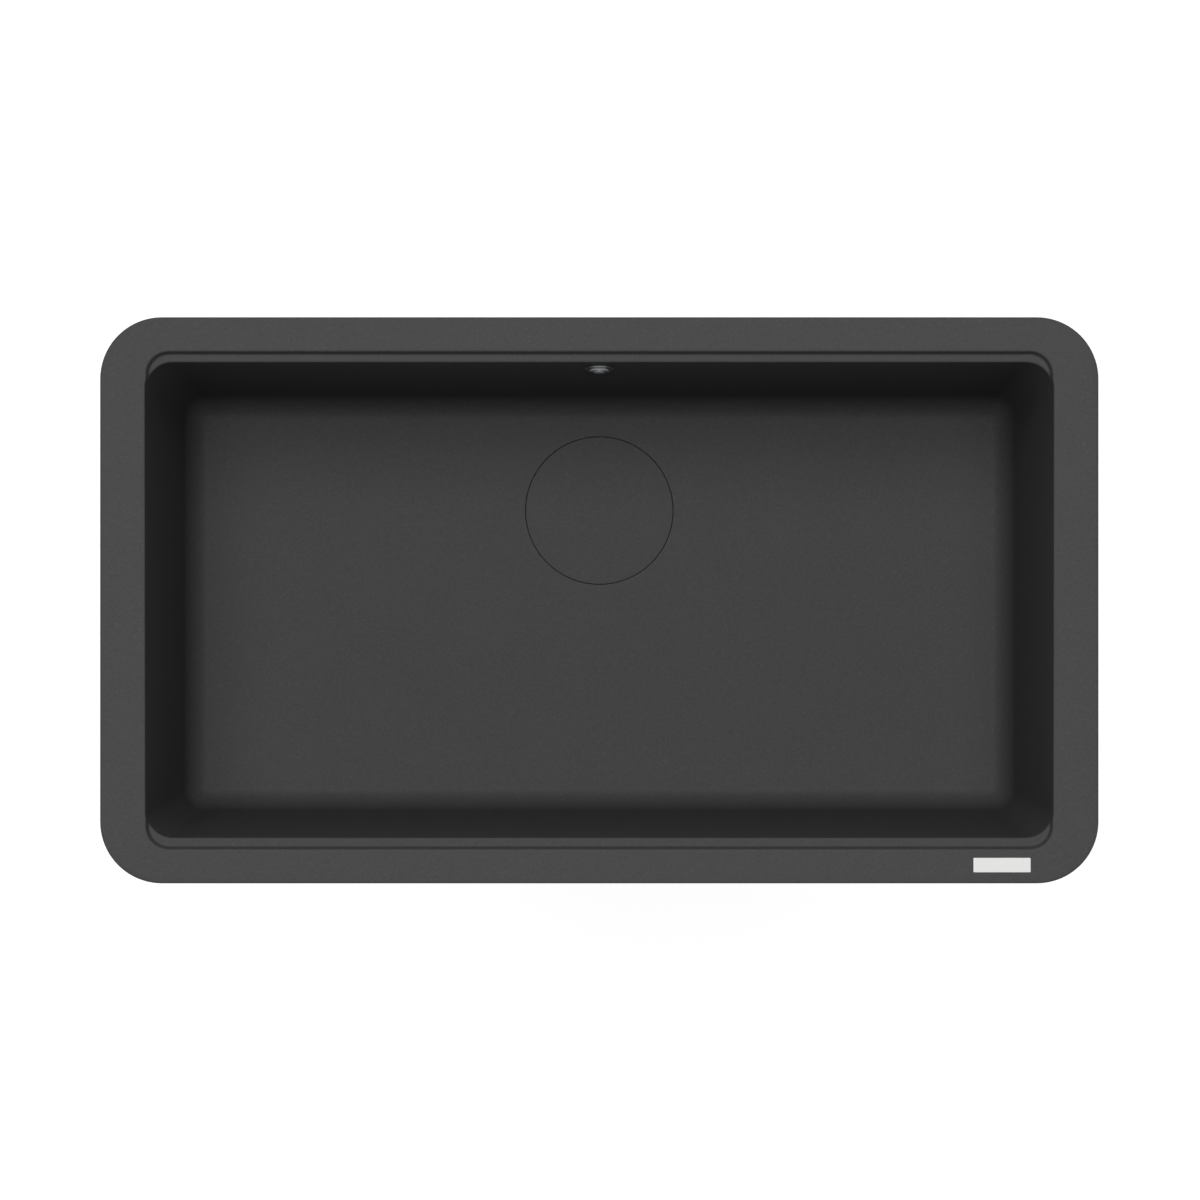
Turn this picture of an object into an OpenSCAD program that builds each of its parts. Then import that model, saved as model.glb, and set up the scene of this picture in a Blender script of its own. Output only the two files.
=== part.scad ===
// Inset kitchen sink in dark granite composite, with its waste, overflow and fixing claws.
// Millimetres. X runs left to right, Y front to back and Z up.
// The origin is the middle of the rim's outline, at the height of the worktop that the rim rests on.

/* [Rim] */
// Length of the rim, left to right
rim_len = 760; // [640:5:860]
// Width of the rim, front to back
rim_wid = 431; // [410:1:500]
// Thickness of the rim
rim_t = 10; // [9:0.5:14]
// Radius of the rim's outer corners
rim_corner_r = 47; // [35:1:60]
// Radius along the rim's upper outer edge
rim_edge_r = 1.5; // [1:0.5:3]
// Width of the rim to the left and right of the bowl
rim_side_w = 34.25; // [32:0.25:45]
// Width of the rim in front of and behind the board recess
rim_end_w = 26; // [24:0.5:40]

/* [Board recess] */
// Width of the front and back ledges, with the foot of their step
ledge_w = 8.4; // [6:0.2:14]
// Depth of the ledges below the rim
ledge_drop = 6; // [4:0.5:8]
// Radius of the recess's corners at the rim
recess_corner_r = 17.5; // [14:0.5:22]
// Lean of the step from upright, in degrees
step_draft = 18; // [8:1:24]

/* [Bowl] */
// Depth from the rim down to the floor at the waste
bowl_depth = 200; // [170:5:230]
// Lean of the walls from upright, in degrees
wall_draft = 6; // [3:0.5:8]
// Fall of the floor towards the back, in degrees
floor_fall = 0.7; // [0.2:0.1:1.2]
// Radius between walls, and between walls and floor
bowl_r = 20; // [16:1:25]
// Thickness of the walls and floor
wall_t = 9; // [8:0.5:12]
// How far the collar under the rim stands out from the walls
collar_w = 4; // [3:0.5:6]
// Height of the collar under the rim
collar_h = 8; // [6:1:12]

/* [Waste] */
// How far the waste lies behind the middle
waste_y = 71; // [50:1:75]
// Diameter of the waste cover
cover_d = 116; // [110:1:120]
// Gap round the waste cover
cover_gap = 0.9; // [0.7:0.1:2]
// Thickness of the waste cover
cover_t = 6; // [5:0.5:8]
// Height of the water way under the cover
cover_lift = 5; // [4.5:0.5:8]
// Diameter of the strainer cup, outside
cup_d = 85; // [80:1:86]
// Depth of the strainer cup below its flange
cup_depth = 45; // [40:1:60]
// Thickness of the sheet steel parts
sheet_t = 1.2; // [0.8:0.1:1.5]
// Thickness of the flat seals
seal_t = 2; // [1.5:0.5:3]
// Outside diameter of the outlet's thread
outlet_d = 47.8; // [44:0.2:52]
// Length of the outlet's thread
outlet_len = 22; // [18:1:40]

/* [Overflow] */
// Distance of the overflow below the ledges, along the wall
overflow_drop = 24; // [20:1:40]
// Diameter of the overflow's hole through the wall
overflow_hole_d = 17; // [16:0.5:18]
// Diameter of the overflow rose
rose_d = 24; // [22:0.5:28]
// Diameter of the domed cap in front of the rose
rose_cap_d = 16.4; // [14:0.2:18]
// Diameter of the hose's ribs
hose_d = 22; // [20:0.5:23]
// Diameter of the hose's bore
hose_bore_d = 16; // [14:0.5:16.5]
// Distance from one rib to the next
hose_pitch = 4.4; // [4:0.2:8]

/* [Fixing claws] */
// Distance of the outer claws from the ends of the rim
claw_end = 140; // [120:5:200]
// How far the middle claw at the back stands to the left of the overflow
claw_back_x = 80; // [60:5:120]
// Length of a claw from its screw to its toe
claw_reach = 24; // [20:1:30]
// Width of a claw
claw_w = 14; // [12:1:14]
// Distance of a claw's plate below the rim
claw_drop = 50; // [40:1:60]
// Diameter of the claw screws
claw_screw_d = 5; // [4:0.5:6]

/* [Label] */
// Length of the blank label
label_len = 43.5; // [30:0.5:60]
// Width of the blank label
label_wid = 11; // [8:0.5:14]
// Thickness of the blank label
label_t = 0.3; // [0.2:0.1:0.6]
// Distance from the label's middle to the rim's right end
label_in = 73.5; // [70:0.5:120]
// Distance from the label's middle to the rim's front edge
label_up = 14; // [10:0.5:16]

/* [Hidden] */
$fn = 96;

// Colours
stone_col = "#303032";
steel_col = "#b9bcbf";
chrome_col = "#d9dcdf";
brass_col = "#b89b58";
rubber_col = "#1c1c1c";
plastic_col = "#3b3d40";
hose_col = "#8f9296";
label_col = "#ececea";

// Clearances
loose = 0.3;
slip = 0.05;
soft_gap = 0.3;
cut_over = 30;

// Heights of the rim and bowl
ledge_z = rim_t - ledge_drop;
floor_z = rim_t - bowl_depth;

// Bowl, in its own frame that leans back by floor_fall about the ledges
bowl_half_x = rim_len / 2 - rim_side_w - ledge_drop * tan(wall_draft);
bowl_half_y = rim_wid / 2 - rim_end_w - ledge_w;
bowl_drop = (ledge_z - floor_z - waste_y * tan(floor_fall)) * cos(floor_fall);
core_drop = bowl_drop - bowl_r;
core_inset = core_drop * tan(wall_draft) + bowl_r / cos(wall_draft);
core_x = bowl_half_x - core_inset;
core_y = bowl_half_y - core_inset;
core_h = core_drop + cut_over;
core_grow = core_h * tan(wall_draft);
core_slope = core_h / cos(wall_draft);
corner_lean = atan(sqrt(2) * tan(wall_draft));
corner_len = sqrt(core_h * core_h + 2 * core_grow * core_grow);

// Outside of the bowl at the rim's underside
shell_x = bowl_half_x - ledge_z * tan(wall_draft) + wall_t / cos(wall_draft);
shell_y = bowl_half_y - ledge_z * tan(wall_draft) + wall_t / cos(wall_draft);

// Board recess
recess_y = rim_wid / 2 - rim_end_w;
recess_x = rim_len / 2 - rim_side_w - 0.5;

// Waste, from the floor down
recess_d = cover_d + 2 * cover_gap;
waste_hole_d = cup_d + 5;
cover_under_z = floor_z - cover_t;
flange_z = cover_under_z - cover_lift;
seat_z = flange_z - sheet_t - seal_t;
well_z = seat_z - wall_t;
well_d = recess_d + 2 * wall_t;
well_bevel = 3;
flange_d = recess_d - 4;
foot_d = 7;
foot_count = 4;
foot_ring_r = (cup_d + flange_d) / 4;
foot_peg_h = 2;
cup_in_r = cup_d / 2 - sheet_t;
cup_z = flange_z - cup_depth;
cup_floor_z = cup_z + sheet_t;
drain_r = 19;
hub_r = 9;
arm_w = 6;
arm_count = 4;
throat_bevel = 2;

// Clamp screw and its insert in the waste body
clamp_d = 8;
clamp_head_d = 14;
clamp_head_h = 5;
insert_d = 12;
insert_h = 16;
hub_gap = 3;

// Strainer basket
basket_rim_r = cup_in_r - 0.4;
basket_base_r = cup_in_r - 3.3;
basket_z = cup_floor_z + seal_t + 1;
basket_top_z = flange_z - 4;
basket_roll_r = 0.9;
basket_hole_d = 4;
basket_hole_count = 20;
slot_w = 2.5;
slot_count = 24;
stem_r = 10;
stem_in_r = clamp_head_d / 2 + 0.8;
stem_top_z = cup_floor_z + clamp_head_h + 16;
knob_d = 24;
knob_h = 9;
knob_rod_r = 3.5;
knob_top_z = cover_under_z - 3;

// Waste body
body_t = 3;
body_flange_t = 4;
body_in_r = cup_d / 2 + 5;
body_r = body_in_r + body_t;
body_flange_r = body_r + 9;
body_top_z = well_z - seal_t;
cone_z = cup_z - 7;
outlet_wall = 3.9;
outlet_r = outlet_d / 2;
outlet_in_r = outlet_r - outlet_wall;
outlet_top_z = cone_z - 17;
outlet_z = outlet_top_z - outlet_len;
rib_t = 3;
inlet_r = 12;
inlet_len = 18;
inlet_z = (body_top_z + cone_z) / 2;

// Overflow, in the frame of the back wall: Y runs out through the wall and Z up along it
wall_lean = wall_draft + floor_fall;
rose_t = 0.8;
rose_washer_t = 0.5;
rose_hub_r = 5.6;
rose_slot_r = overflow_hole_d / 2 - 0.2;
rose_rib_w = 2.2;
rose_rib_count = 6;
cap_neck_r = 5.2;
cap_h = 1.8;
cap_dome = 0.4;
cap_front_y = -rose_washer_t - rose_t - cap_h;
overflow_screw_d = 4;
screw_head_d = 10.6;
screw_head_h = 1.3;
elbow_seal_t = 2;
elbow_y = wall_t + elbow_seal_t;
elbow_deep = 12;
elbow_w = 34;
elbow_top = 14;
elbow_low = 36;
elbow_t = 2;
elbow_r = 10;
elbow_hole_r = overflow_hole_d / 2 + 0.5;
elbow_seal_r = 13;
spigot_y = elbow_y + inlet_r + 0.5;
spigot_r = inlet_r + 0.5;
spigot_top = 22;
spigot_foot = 42;
thread_len = 10;
boss_r = 5.5;

// Unions of the overflow hose
nut_r = 14.2;
nut_h = 15;
nut_lip = 2.5;
washer_t = 2;
collar_t = 2;
collar_foot = 0.4;
collar_r = inlet_r - 0.4;
cuff_r = hose_d / 2 - 0.8;

// Fixing claws
claw_boss_r = 7;
claw_boss_h = 14;
claw_insert_d = 8;
claw_insert_h = 12;
claw_t = 2.5;
claw_lip = 6;
claw_washer_t = 1.2;
claw_washer_r = 6;
claw_head_r = 4.75;
claw_head_h = 3.5;
claw_pitch = rim_len / 2 - claw_end;
claw_x = shell_x + claw_boss_r + 1.2;
claw_y = shell_y + claw_boss_r + 1.2;
// Each row is x, y and the way the claw points when it clamps
CLAWS = [
    [-claw_pitch, -claw_y, 270],
    [0, -claw_y, 270],
    [claw_pitch, -claw_y, 270],
    [-claw_pitch, claw_y, 90],
    [-claw_back_x, claw_y, 90],
    [claw_pitch, claw_y, 90],
    [-claw_x, 0, 180],
    [claw_x, 0, 0]
];

// Seal strip under the rim
strip_in = 2;
strip_w = 6;
strip_t = 1;

// Route of the overflow hose: straight out of both unions, with one smooth bend between
function lean(y, z, a) = [y * cos(a) + z * sin(a), -y * sin(a) + z * cos(a)];
wall_foot = lean(bowl_half_y - overflow_drop * tan(wall_draft), -overflow_drop, floor_fall);
function on_wall(y, z) = [wall_foot[0], ledge_z + wall_foot[1]] + lean(y, z, wall_lean);
hose_start = on_wall(spigot_y, -spigot_foot - thread_len - washer_t);
hose_end = [waste_y + body_r + inlet_len + washer_t, inlet_z];
start_way = lean(0, -1, wall_lean);
end_way = [-1, 0];
hose_straight = hose_d;
bend_start = hose_start + hose_straight * start_way;
bend_end = hose_end - hose_straight * end_way;
bend_pull = [0.62 * (bend_start[1] - bend_end[1]), 0.8 * (bend_start[0] - bend_end[0]) + 10];
bend = [
    bend_start,
    bend_start + bend_pull[0] * start_way,
    bend_end - bend_pull[1] * end_way,
    bend_end
];
function bend_at(t) = pow(1 - t, 3) * bend[0] + 3 * t * pow(1 - t, 2) * bend[1]
    + 3 * t * t * (1 - t) * bend[2] + pow(t, 3) * bend[3];
function bend_way(t) = let (d = pow(1 - t, 2) * (bend[1] - bend[0])
    + 2 * t * (1 - t) * (bend[2] - bend[1]) + t * t * (bend[3] - bend[2])) d / norm(d);
bend_steps = 60;
function bend_lengths(i = 0, s = 0) = i == bend_steps ? [[s, 1]]
    : concat([[s, i / bend_steps]],
        bend_lengths(i + 1, s + norm(bend_at((i + 1) / bend_steps) - bend_at(i / bend_steps))));
bend_table = bend_lengths();
bend_len = bend_table[bend_steps][0];
hose_len = bend_len + 2 * hose_straight;
function hose_at(s) = s < hose_straight ? hose_start + s * start_way
    : s > hose_len - hose_straight ? hose_end - (hose_len - s) * end_way
    : bend_at(lookup(s - hose_straight, bend_table));
function hose_way(s) = s < hose_straight ? start_way
    : s > hose_len - hose_straight ? end_way
    : bend_way(lookup(s - hose_straight, bend_table));
hose_sides = 8;
cuff_len = nut_h;
rib_count = floor((hose_len - 2 * cuff_len) / hose_pitch);
rib_step = (hose_len - 2 * cuff_len) / rib_count;
rib_low_r = (hose_d + hose_bore_d) / 4;
// Each ring is its place along the hose and its radius
HOSE_RINGS = concat(
    [[0, collar_r], [collar_t, collar_r], [collar_t + collar_foot, cuff_r], [cuff_len - 0.8, cuff_r]],
    [for (i = [0 : rib_count - 1]) each [
        [cuff_len + (i + 0.1) * rib_step, rib_low_r],
        [cuff_len + (i + 0.6) * rib_step, hose_d / 2]
    ]],
    [
        [hose_len - cuff_len + 0.2, rib_low_r],
        [hose_len - cuff_len + 0.8, cuff_r],
        [hose_len - collar_t - collar_foot, cuff_r],
        [hose_len - collar_t, collar_r],
        [hose_len, collar_r]
    ]
);
echo(hose_length = hose_len, ribs = rib_count);

// Rectangle with round corners
module rounded_rect(len, wid, r) {
    square([len - 2 * r, wid], center = true);
    square([len, wid - 2 * r], center = true);
    for (sx = [-1, 1]) for (sy = [-1, 1]) translate([sx * (len / 2 - r), sy * (wid / 2 - r)]) circle(r = r);
}

// Flat ring that stands on z = 0
module ring(r, in_r, h) {
    difference() {
        cylinder(r = r, h = h);
        translate([0, 0, -1]) cylinder(r = in_r, h = h + 2);
    }
}

// Copies of a shape turned round the Z axis
module around(count) {
    for (i = [0 : count - 1]) rotate([0, 0, i * 360 / count]) children();
}

module at_waste(z) {
    translate([0, waste_y, z]) children();
}

// Frame of the back wall at the overflow
module at_overflow() {
    translate([0, wall_foot[0], ledge_z + wall_foot[1]]) rotate([-wall_lean, 0, 0]) children();
}

// Ring about the Y axis of the overflow's frame, from y to y + h
module wall_ring(r, in_r, y, h) {
    translate([0, y, 0]) rotate([-90, 0, 0]) ring(r, in_r, h);
}

// The bowl's inside, grown by a wall thickness: a leaning box whose edges are all round
module bowl_form(grow) {
    r = bowl_r + grow;
    translate([0, 0, ledge_z]) rotate([-floor_fall, 0, 0]) translate([0, 0, -core_drop]) {
        intersection() {
            rotate([90, 0, 0]) linear_extrude(height = 4 * (core_y + core_grow), center = true)
                flared(core_x, core_grow, core_h);
            rotate([90, 0, 90]) linear_extrude(height = 4 * (core_x + core_grow), center = true)
                flared(core_y, core_grow, core_h);
        }
        translate([-core_x, -core_y, -r]) cube([2 * core_x, 2 * core_y, r + 1]);
        for (side = [0, 1]) mirror([side, 0, 0])
            translate([core_x, 0, 0]) rotate([0, 90 + wall_draft, 0]) wall_plate(core_y, r);
        for (side = [0, 1]) mirror([0, side, 0])
            translate([0, core_y, 0]) rotate([-wall_draft, 0, 0]) rotate([0, 90, 90]) wall_plate(core_x, r);
        for (sx = [0, 1]) for (sy = [0, 1]) mirror([sx, 0, 0]) mirror([0, sy, 0])
            translate([core_x, core_y, 0]) {
                rotate([0, 0, 45]) rotate([0, corner_lean, 0]) round_end(r, corner_len);
            }
        for (side = [0, 1]) mirror([0, side, 0])
            translate([-core_x, core_y, 0]) rotate([0, 90, 0]) cylinder(r = r, h = 2 * core_x);
        for (side = [0, 1]) mirror([side, 0, 0])
            translate([core_x, -core_y, 0]) rotate([-90, 0, 0]) cylinder(r = r, h = 2 * core_y);
    }
}

// Cylinder that stands on z = 0 with half a ball under it
module round_end(r, h) {
    rotate_extrude() intersection() {
        union() {
            circle(r = r);
            translate([-r, 0]) square([2 * r, h]);
        }
        translate([0, -r]) square([r, h + r]);
    }
}

// Section that is wider at its top
module flared(half, grow, h) {
    polygon([[-half, 0], [half, 0], [half + grow, h], [-half - grow, h]]);
}

// The layer between the core's side and the wall, drawn flat
module wall_plate(half, r) {
    translate([0, 0, -1]) linear_extrude(height = r + 1)
        rotate([0, 0, 90]) flared(half, core_grow, core_slope);
}

// Section across the rim's plate, with round upper edges
module rim_section(half) {
    translate([-half, 0]) square([2 * half, rim_t - rim_edge_r]);
    translate([rim_edge_r - half, 0]) square([2 * half - 2 * rim_edge_r, rim_t]);
    for (s = [-1, 1]) translate([s * (half - rim_edge_r), rim_t - rim_edge_r]) circle(r = rim_edge_r);
}

module rim_plate() {
    mid_x = rim_len / 2 - rim_corner_r;
    mid_y = rim_wid / 2 - rim_corner_r;
    rotate([90, 0, 90]) linear_extrude(height = 2 * mid_x, center = true) rim_section(rim_wid / 2);
    rotate([90, 0, 0]) linear_extrude(height = 2 * mid_y, center = true) rim_section(rim_len / 2);
    for (sx = [-1, 1]) for (sy = [-1, 1]) translate([sx * mid_x, sy * mid_y, 0])
        rotate_extrude() intersection() {
            rim_section(rim_corner_r);
            square([rim_corner_r, rim_t]);
        }
}

// The shallow pocket for boards, whose floor is the two ledges. It is cut to twice its depth.
module board_recess() {
    step_in = round(100 * ledge_drop * tan(step_draft)) / 100;
    mid_x = recess_x - recess_corner_r;
    mid_y = recess_y - recess_corner_r;
    translate([0, 0, ledge_z]) {
        rotate([90, 0, 90]) linear_extrude(height = 2 * mid_x, center = true)
            flared(recess_y - step_in, 2 * step_in, 2 * ledge_drop);
        rotate([90, 0, 0]) linear_extrude(height = 2 * mid_y, center = true)
            flared(recess_x - step_in, 2 * step_in, 2 * ledge_drop);
        for (sx = [-1, 1]) for (sy = [-1, 1]) translate([sx * mid_x, sy * mid_y, 0])
            cylinder(r1 = recess_corner_r - step_in, r2 = recess_corner_r + step_in, h = 2 * ledge_drop);
    }
}

module strip_outline(in) {
    rounded_rect(rim_len - 2 * in, rim_wid - 2 * in, rim_corner_r - in);
}

module basin() {
    color(stone_col) difference() {
        union() {
            rim_plate();
            intersection() {
                bowl_form(wall_t);
                translate([-rim_len / 2, -rim_wid / 2, -2 * bowl_depth])
                    cube([rim_len, rim_wid, 2 * bowl_depth + ledge_z / 2]);
            }
            translate([0, 0, -collar_h]) linear_extrude(height = collar_h + 1)
                rounded_rect(2 * (shell_x + collar_w), 2 * (shell_y + collar_w), bowl_r + wall_t + collar_w);
            at_waste(well_z + well_bevel) cylinder(d = well_d, h = floor_z - well_z - well_bevel);
            at_waste(well_z) cylinder(d1 = well_d - 2 * well_bevel, d2 = well_d, h = well_bevel);
            for (c = CLAWS) translate([c[0], c[1], -claw_boss_h])
                cylinder(r = claw_boss_r, h = claw_boss_h + 1);
        }
        bowl_form(0);
        board_recess();
        at_waste(seat_z) cylinder(d = recess_d, h = floor_z - seat_z + cut_over);
        at_waste(well_z - 1) cylinder(d = waste_hole_d, h = wall_t + 2);
        at_overflow() rotate([-90, 0, 0]) translate([0, 0, -cut_over])
            cylinder(d = overflow_hole_d, h = wall_t + 2 * cut_over);
        for (c = CLAWS) translate([c[0], c[1], -claw_boss_h - 1])
            cylinder(d = claw_insert_d, h = claw_insert_h + 1);
        translate([0, 0, -1]) linear_extrude(height = strip_t + 1) difference() {
            strip_outline(strip_in);
            strip_outline(strip_in + strip_w);
        }
    }
}

module rim_label() {
    color(label_col) translate([rim_len / 2 - label_in, -rim_wid / 2 + label_up, rim_t])
        linear_extrude(height = label_t) rounded_rect(label_len, label_wid, 0.6);
}

module rim_seal() {
    color(rubber_col) linear_extrude(height = strip_t) difference() {
        strip_outline(strip_in);
        strip_outline(strip_in + strip_w);
    }
}

// Places of the cover's feet
module at_feet() {
    at_waste(0) around(foot_count) rotate([0, 0, 45]) translate([foot_ring_r, 0, 0]) children();
}

module waste_cover() {
    edge = 0.8;
    color(stone_col) difference() {
        at_waste(cover_under_z) rotate_extrude() {
            square([cover_d / 2 - edge, cover_t]);
            square([cover_d / 2, cover_t - edge]);
            translate([cover_d / 2 - edge, cover_t - edge]) circle(r = edge);
        }
        at_feet() translate([0, 0, cover_under_z - 1]) cylinder(d = foot_d - 2, h = foot_peg_h + 1);
    }
}

module cover_feet() {
    color(rubber_col) at_feet() {
        translate([0, 0, flange_z + soft_gap]) cylinder(d = foot_d, h = cover_lift - soft_gap);
        translate([0, 0, cover_under_z - 1]) cylinder(d = foot_d - 2, h = foot_peg_h + 1);
    }
}

module strainer_basket() {
    color(steel_col) at_waste(0) difference() {
        union() {
            rotate_extrude() polygon([
                [stem_r, basket_z], [basket_base_r, basket_z],
                [basket_rim_r - basket_roll_r + sheet_t / 2, basket_top_z],
                [basket_rim_r - basket_roll_r - sheet_t / 2, basket_top_z],
                [basket_base_r - sheet_t, basket_z + sheet_t], [stem_r, basket_z + sheet_t]
            ]);
            translate([0, 0, basket_top_z]) rotate_extrude()
                translate([basket_rim_r - basket_roll_r, 0]) circle(r = basket_roll_r);
        }
        around(basket_hole_count) translate([basket_base_r - 5, 0, basket_z - 1])
            cylinder(d = basket_hole_d, h = sheet_t + 2);
        around(slot_count) translate([basket_base_r - 2, -slot_w / 2, basket_z + 7])
            cube([6, slot_w, basket_top_z - basket_z - 13]);
    }
}

module basket_stem() {
    stem_roof = 3;
    foot = cup_floor_z + loose;
    color(plastic_col) at_waste(0) {
        difference() {
            translate([0, 0, foot]) cylinder(r = stem_r, h = stem_top_z - foot);
            translate([0, 0, foot - 1]) cylinder(r = stem_in_r, h = stem_top_z - stem_roof - foot + 1);
        }
    }
}

module basket_knob() {
    color(plastic_col) at_waste(0) {
        translate([0, 0, stem_top_z]) cylinder(r = knob_rod_r, h = knob_top_z - knob_h - stem_top_z + 1);
        translate([0, 0, knob_top_z - knob_h]) rotate_extrude() intersection() {
            union() {
                square([knob_d / 2 - knob_h / 2, knob_h]);
                translate([knob_d / 2 - knob_h / 2, knob_h / 2]) circle(d = knob_h);
            }
            square([knob_d, knob_h]);
        }
    }
}

module basket_seal() {
    color(rubber_col) at_waste(cup_floor_z + soft_gap)
        ring(drain_r + 10, drain_r + 1, basket_z - cup_floor_z - soft_gap);
}

module waste_flange() {
    color(steel_col) at_waste(flange_z) {
        rotate_extrude() polygon([
            [flange_d / 2, -sheet_t], [flange_d / 2, -sheet_t / 2], [flange_d / 2 - sheet_t / 2, 0],
            [cup_in_r + throat_bevel, 0], [cup_in_r, -throat_bevel], [cup_in_r, cup_floor_z - flange_z],
            [drain_r, cup_floor_z - flange_z], [drain_r, -cup_depth],
            [cup_d / 2, -cup_depth], [cup_d / 2, -sheet_t]
        ]);
        translate([0, 0, -cup_depth]) {
            ring(hub_r, clamp_d / 2 + slip, sheet_t);
            around(arm_count) translate([hub_r - 1, -arm_w / 2, 0])
                cube([drain_r - hub_r + 2, arm_w, sheet_t]);
        }
    }
}

module flange_seal() {
    color(rubber_col) at_waste(seat_z) ring(flange_d / 2, waste_hole_d / 2, seal_t);
}

module body_seal() {
    color(rubber_col) at_waste(body_top_z) ring(body_flange_r - 1, body_in_r + 1, seal_t);
}

module clamp_screw() {
    socket_d = 6.9;
    color(steel_col) at_waste(0) difference() {
        union() {
            translate([0, 0, cup_floor_z]) cylinder(d = clamp_head_d, h = clamp_head_h);
            translate([0, 0, cup_z - hub_gap - insert_h])
                cylinder(d = clamp_d, h = cup_floor_z - cup_z + hub_gap + insert_h);
        }
        translate([0, 0, cup_floor_z + clamp_head_h - 3]) cylinder(d = socket_d, h = 4, $fn = 6);
    }
}

module clamp_insert() {
    color(brass_col) at_waste(cup_z - hub_gap - 1 - insert_h) ring(insert_d / 2, clamp_d / 2, insert_h);
}

module waste_body() {
    hub_out_r = insert_d / 2 + 3;
    hub_top = cup_z - hub_gap;
    color(plastic_col) at_waste(0) difference() {
        union() {
            difference() {
                union() {
                    rotate_extrude() polygon([
                        [0, outlet_z], [outlet_r, outlet_z], [outlet_r, outlet_top_z], [body_r, cone_z],
                        [body_r, body_top_z - body_flange_t], [body_flange_r, body_top_z - body_flange_t],
                        [body_flange_r, body_top_z], [0, body_top_z]
                    ]);
                    translate([0, 0, inlet_z]) rotate([-90, 0, 0])
                        cylinder(r = inlet_r, h = body_r + inlet_len);
                }
                rotate_extrude() polygon([
                    [0, outlet_z - 1], [outlet_in_r, outlet_z - 1], [outlet_in_r, outlet_top_z],
                    [body_in_r, cone_z], [body_in_r, body_top_z + 1], [0, body_top_z + 1]
                ]);
            }
            translate([0, 0, outlet_top_z]) cylinder(r = hub_out_r, h = hub_top - outlet_top_z);
            intersection() {
                around(arm_count) rotate([0, 0, 45]) translate([0, -rib_t / 2, outlet_top_z])
                    cube([body_r, rib_t, cone_z - outlet_top_z]);
                rotate_extrude() polygon([
                    [0, outlet_top_z], [outlet_r - 1, outlet_top_z], [body_r - 1, cone_z], [0, cone_z]
                ]);
            }
        }
        translate([0, 0, hub_top - 1 - insert_h]) cylinder(d = insert_d, h = insert_h + 2);
        translate([0, 0, inlet_z]) rotate([-90, 0, 0]) translate([0, 0, body_in_r - 6])
            cylinder(d = hose_bore_d, h = inlet_len + body_t + 7);
    }
}

module overflow_rose() {
    rose_y = -rose_washer_t - rose_t;
    color(chrome_col) at_overflow() {
        wall_ring(rose_d / 2, rose_slot_r, rose_y, rose_t);
        wall_ring(rose_hub_r, overflow_screw_d / 2 + slip, rose_y, rose_t);
        translate([0, rose_y, 0]) rotate([-90, 0, 0]) around(rose_rib_count)
            translate([rose_hub_r - 0.5, -rose_rib_w / 2, 0])
                cube([rose_slot_r - rose_hub_r + 1, rose_rib_w, rose_t]);
    }
}

module overflow_cap() {
    color(chrome_col) at_overflow() translate([0, cap_front_y, 0]) rotate([-90, 0, 0]) difference() {
        union() {
            translate([0, 0, cap_dome]) cylinder(r1 = rose_cap_d / 2, r2 = cap_neck_r, h = cap_h - cap_dome);
            cylinder(r1 = rose_cap_d / 2 - 1.5, r2 = rose_cap_d / 2, h = cap_dome);
        }
        translate([0, 0, -1]) cylinder(d = overflow_screw_d + 2 * slip, h = cap_h + 2);
    }
}

module overflow_screw() {
    color(chrome_col) at_overflow() translate([0, cap_front_y, 0]) rotate([-90, 0, 0]) difference() {
        union() {
            translate([0, 0, -screw_head_h])
                cylinder(d1 = screw_head_d - 1.4, d2 = screw_head_d, h = screw_head_h);
            cylinder(d = overflow_screw_d, h = elbow_y + elbow_deep - elbow_t - cap_front_y);
        }
        translate([-screw_head_d, -0.6, -screw_head_h - 1]) cube([2 * screw_head_d, 1.2, 1.6]);
    }
}

module overflow_washer() {
    color(rubber_col) at_overflow()
        wall_ring(rose_d / 2 - 0.6, overflow_hole_d / 2, -rose_washer_t, rose_washer_t - 0.02);
}

module elbow_seal() {
    color(rubber_col) at_overflow() wall_ring(elbow_seal_r, elbow_hole_r, wall_t, elbow_seal_t);
}

// A box with round corners in the overflow's frame, from y to y + deep
module elbow_box(y, deep, in, r) {
    mid_z = (elbow_top - elbow_low) / 2;
    translate([0, y, mid_z]) rotate([-90, 0, 0]) linear_extrude(height = deep)
        rounded_rect(elbow_w - 2 * in, elbow_top + elbow_low - 2 * in, r);
}

module overflow_elbow() {
    color(plastic_col) at_overflow() difference() {
        union() {
            difference() {
                union() {
                    elbow_box(elbow_y, elbow_deep, 0, elbow_r);
                    translate([0, spigot_y, -spigot_foot])
                        cylinder(r = spigot_r, h = spigot_foot - spigot_top);
                    translate([0, spigot_y, -spigot_foot - thread_len])
                        cylinder(r = inlet_r, h = thread_len + 1);
                }
                elbow_box(elbow_y + elbow_t, elbow_deep - 2 * elbow_t, elbow_t, elbow_r - elbow_t);
                translate([0, spigot_y, -spigot_foot - thread_len - 1])
                    cylinder(d = hose_bore_d, h = spigot_foot + thread_len + 1 - spigot_top - elbow_t);
                wall_ring(elbow_hole_r, 0, elbow_y - 1, elbow_t + 2);
            }
            translate([0, elbow_y + elbow_t + 2, 0]) rotate([-90, 0, 0])
                cylinder(r = boss_r, h = elbow_deep - elbow_t - 2);
        }
        translate([0, elbow_y, 0]) rotate([-90, 0, 0]) cylinder(r = boss_r - 1.5, h = elbow_deep - elbow_t);
    }
}

module elbow_insert() {
    color(brass_col) at_overflow()
        wall_ring(boss_r - 1.5, overflow_screw_d / 2, elbow_y + elbow_t + 2, elbow_deep - 2 * elbow_t - 2);
}

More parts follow.
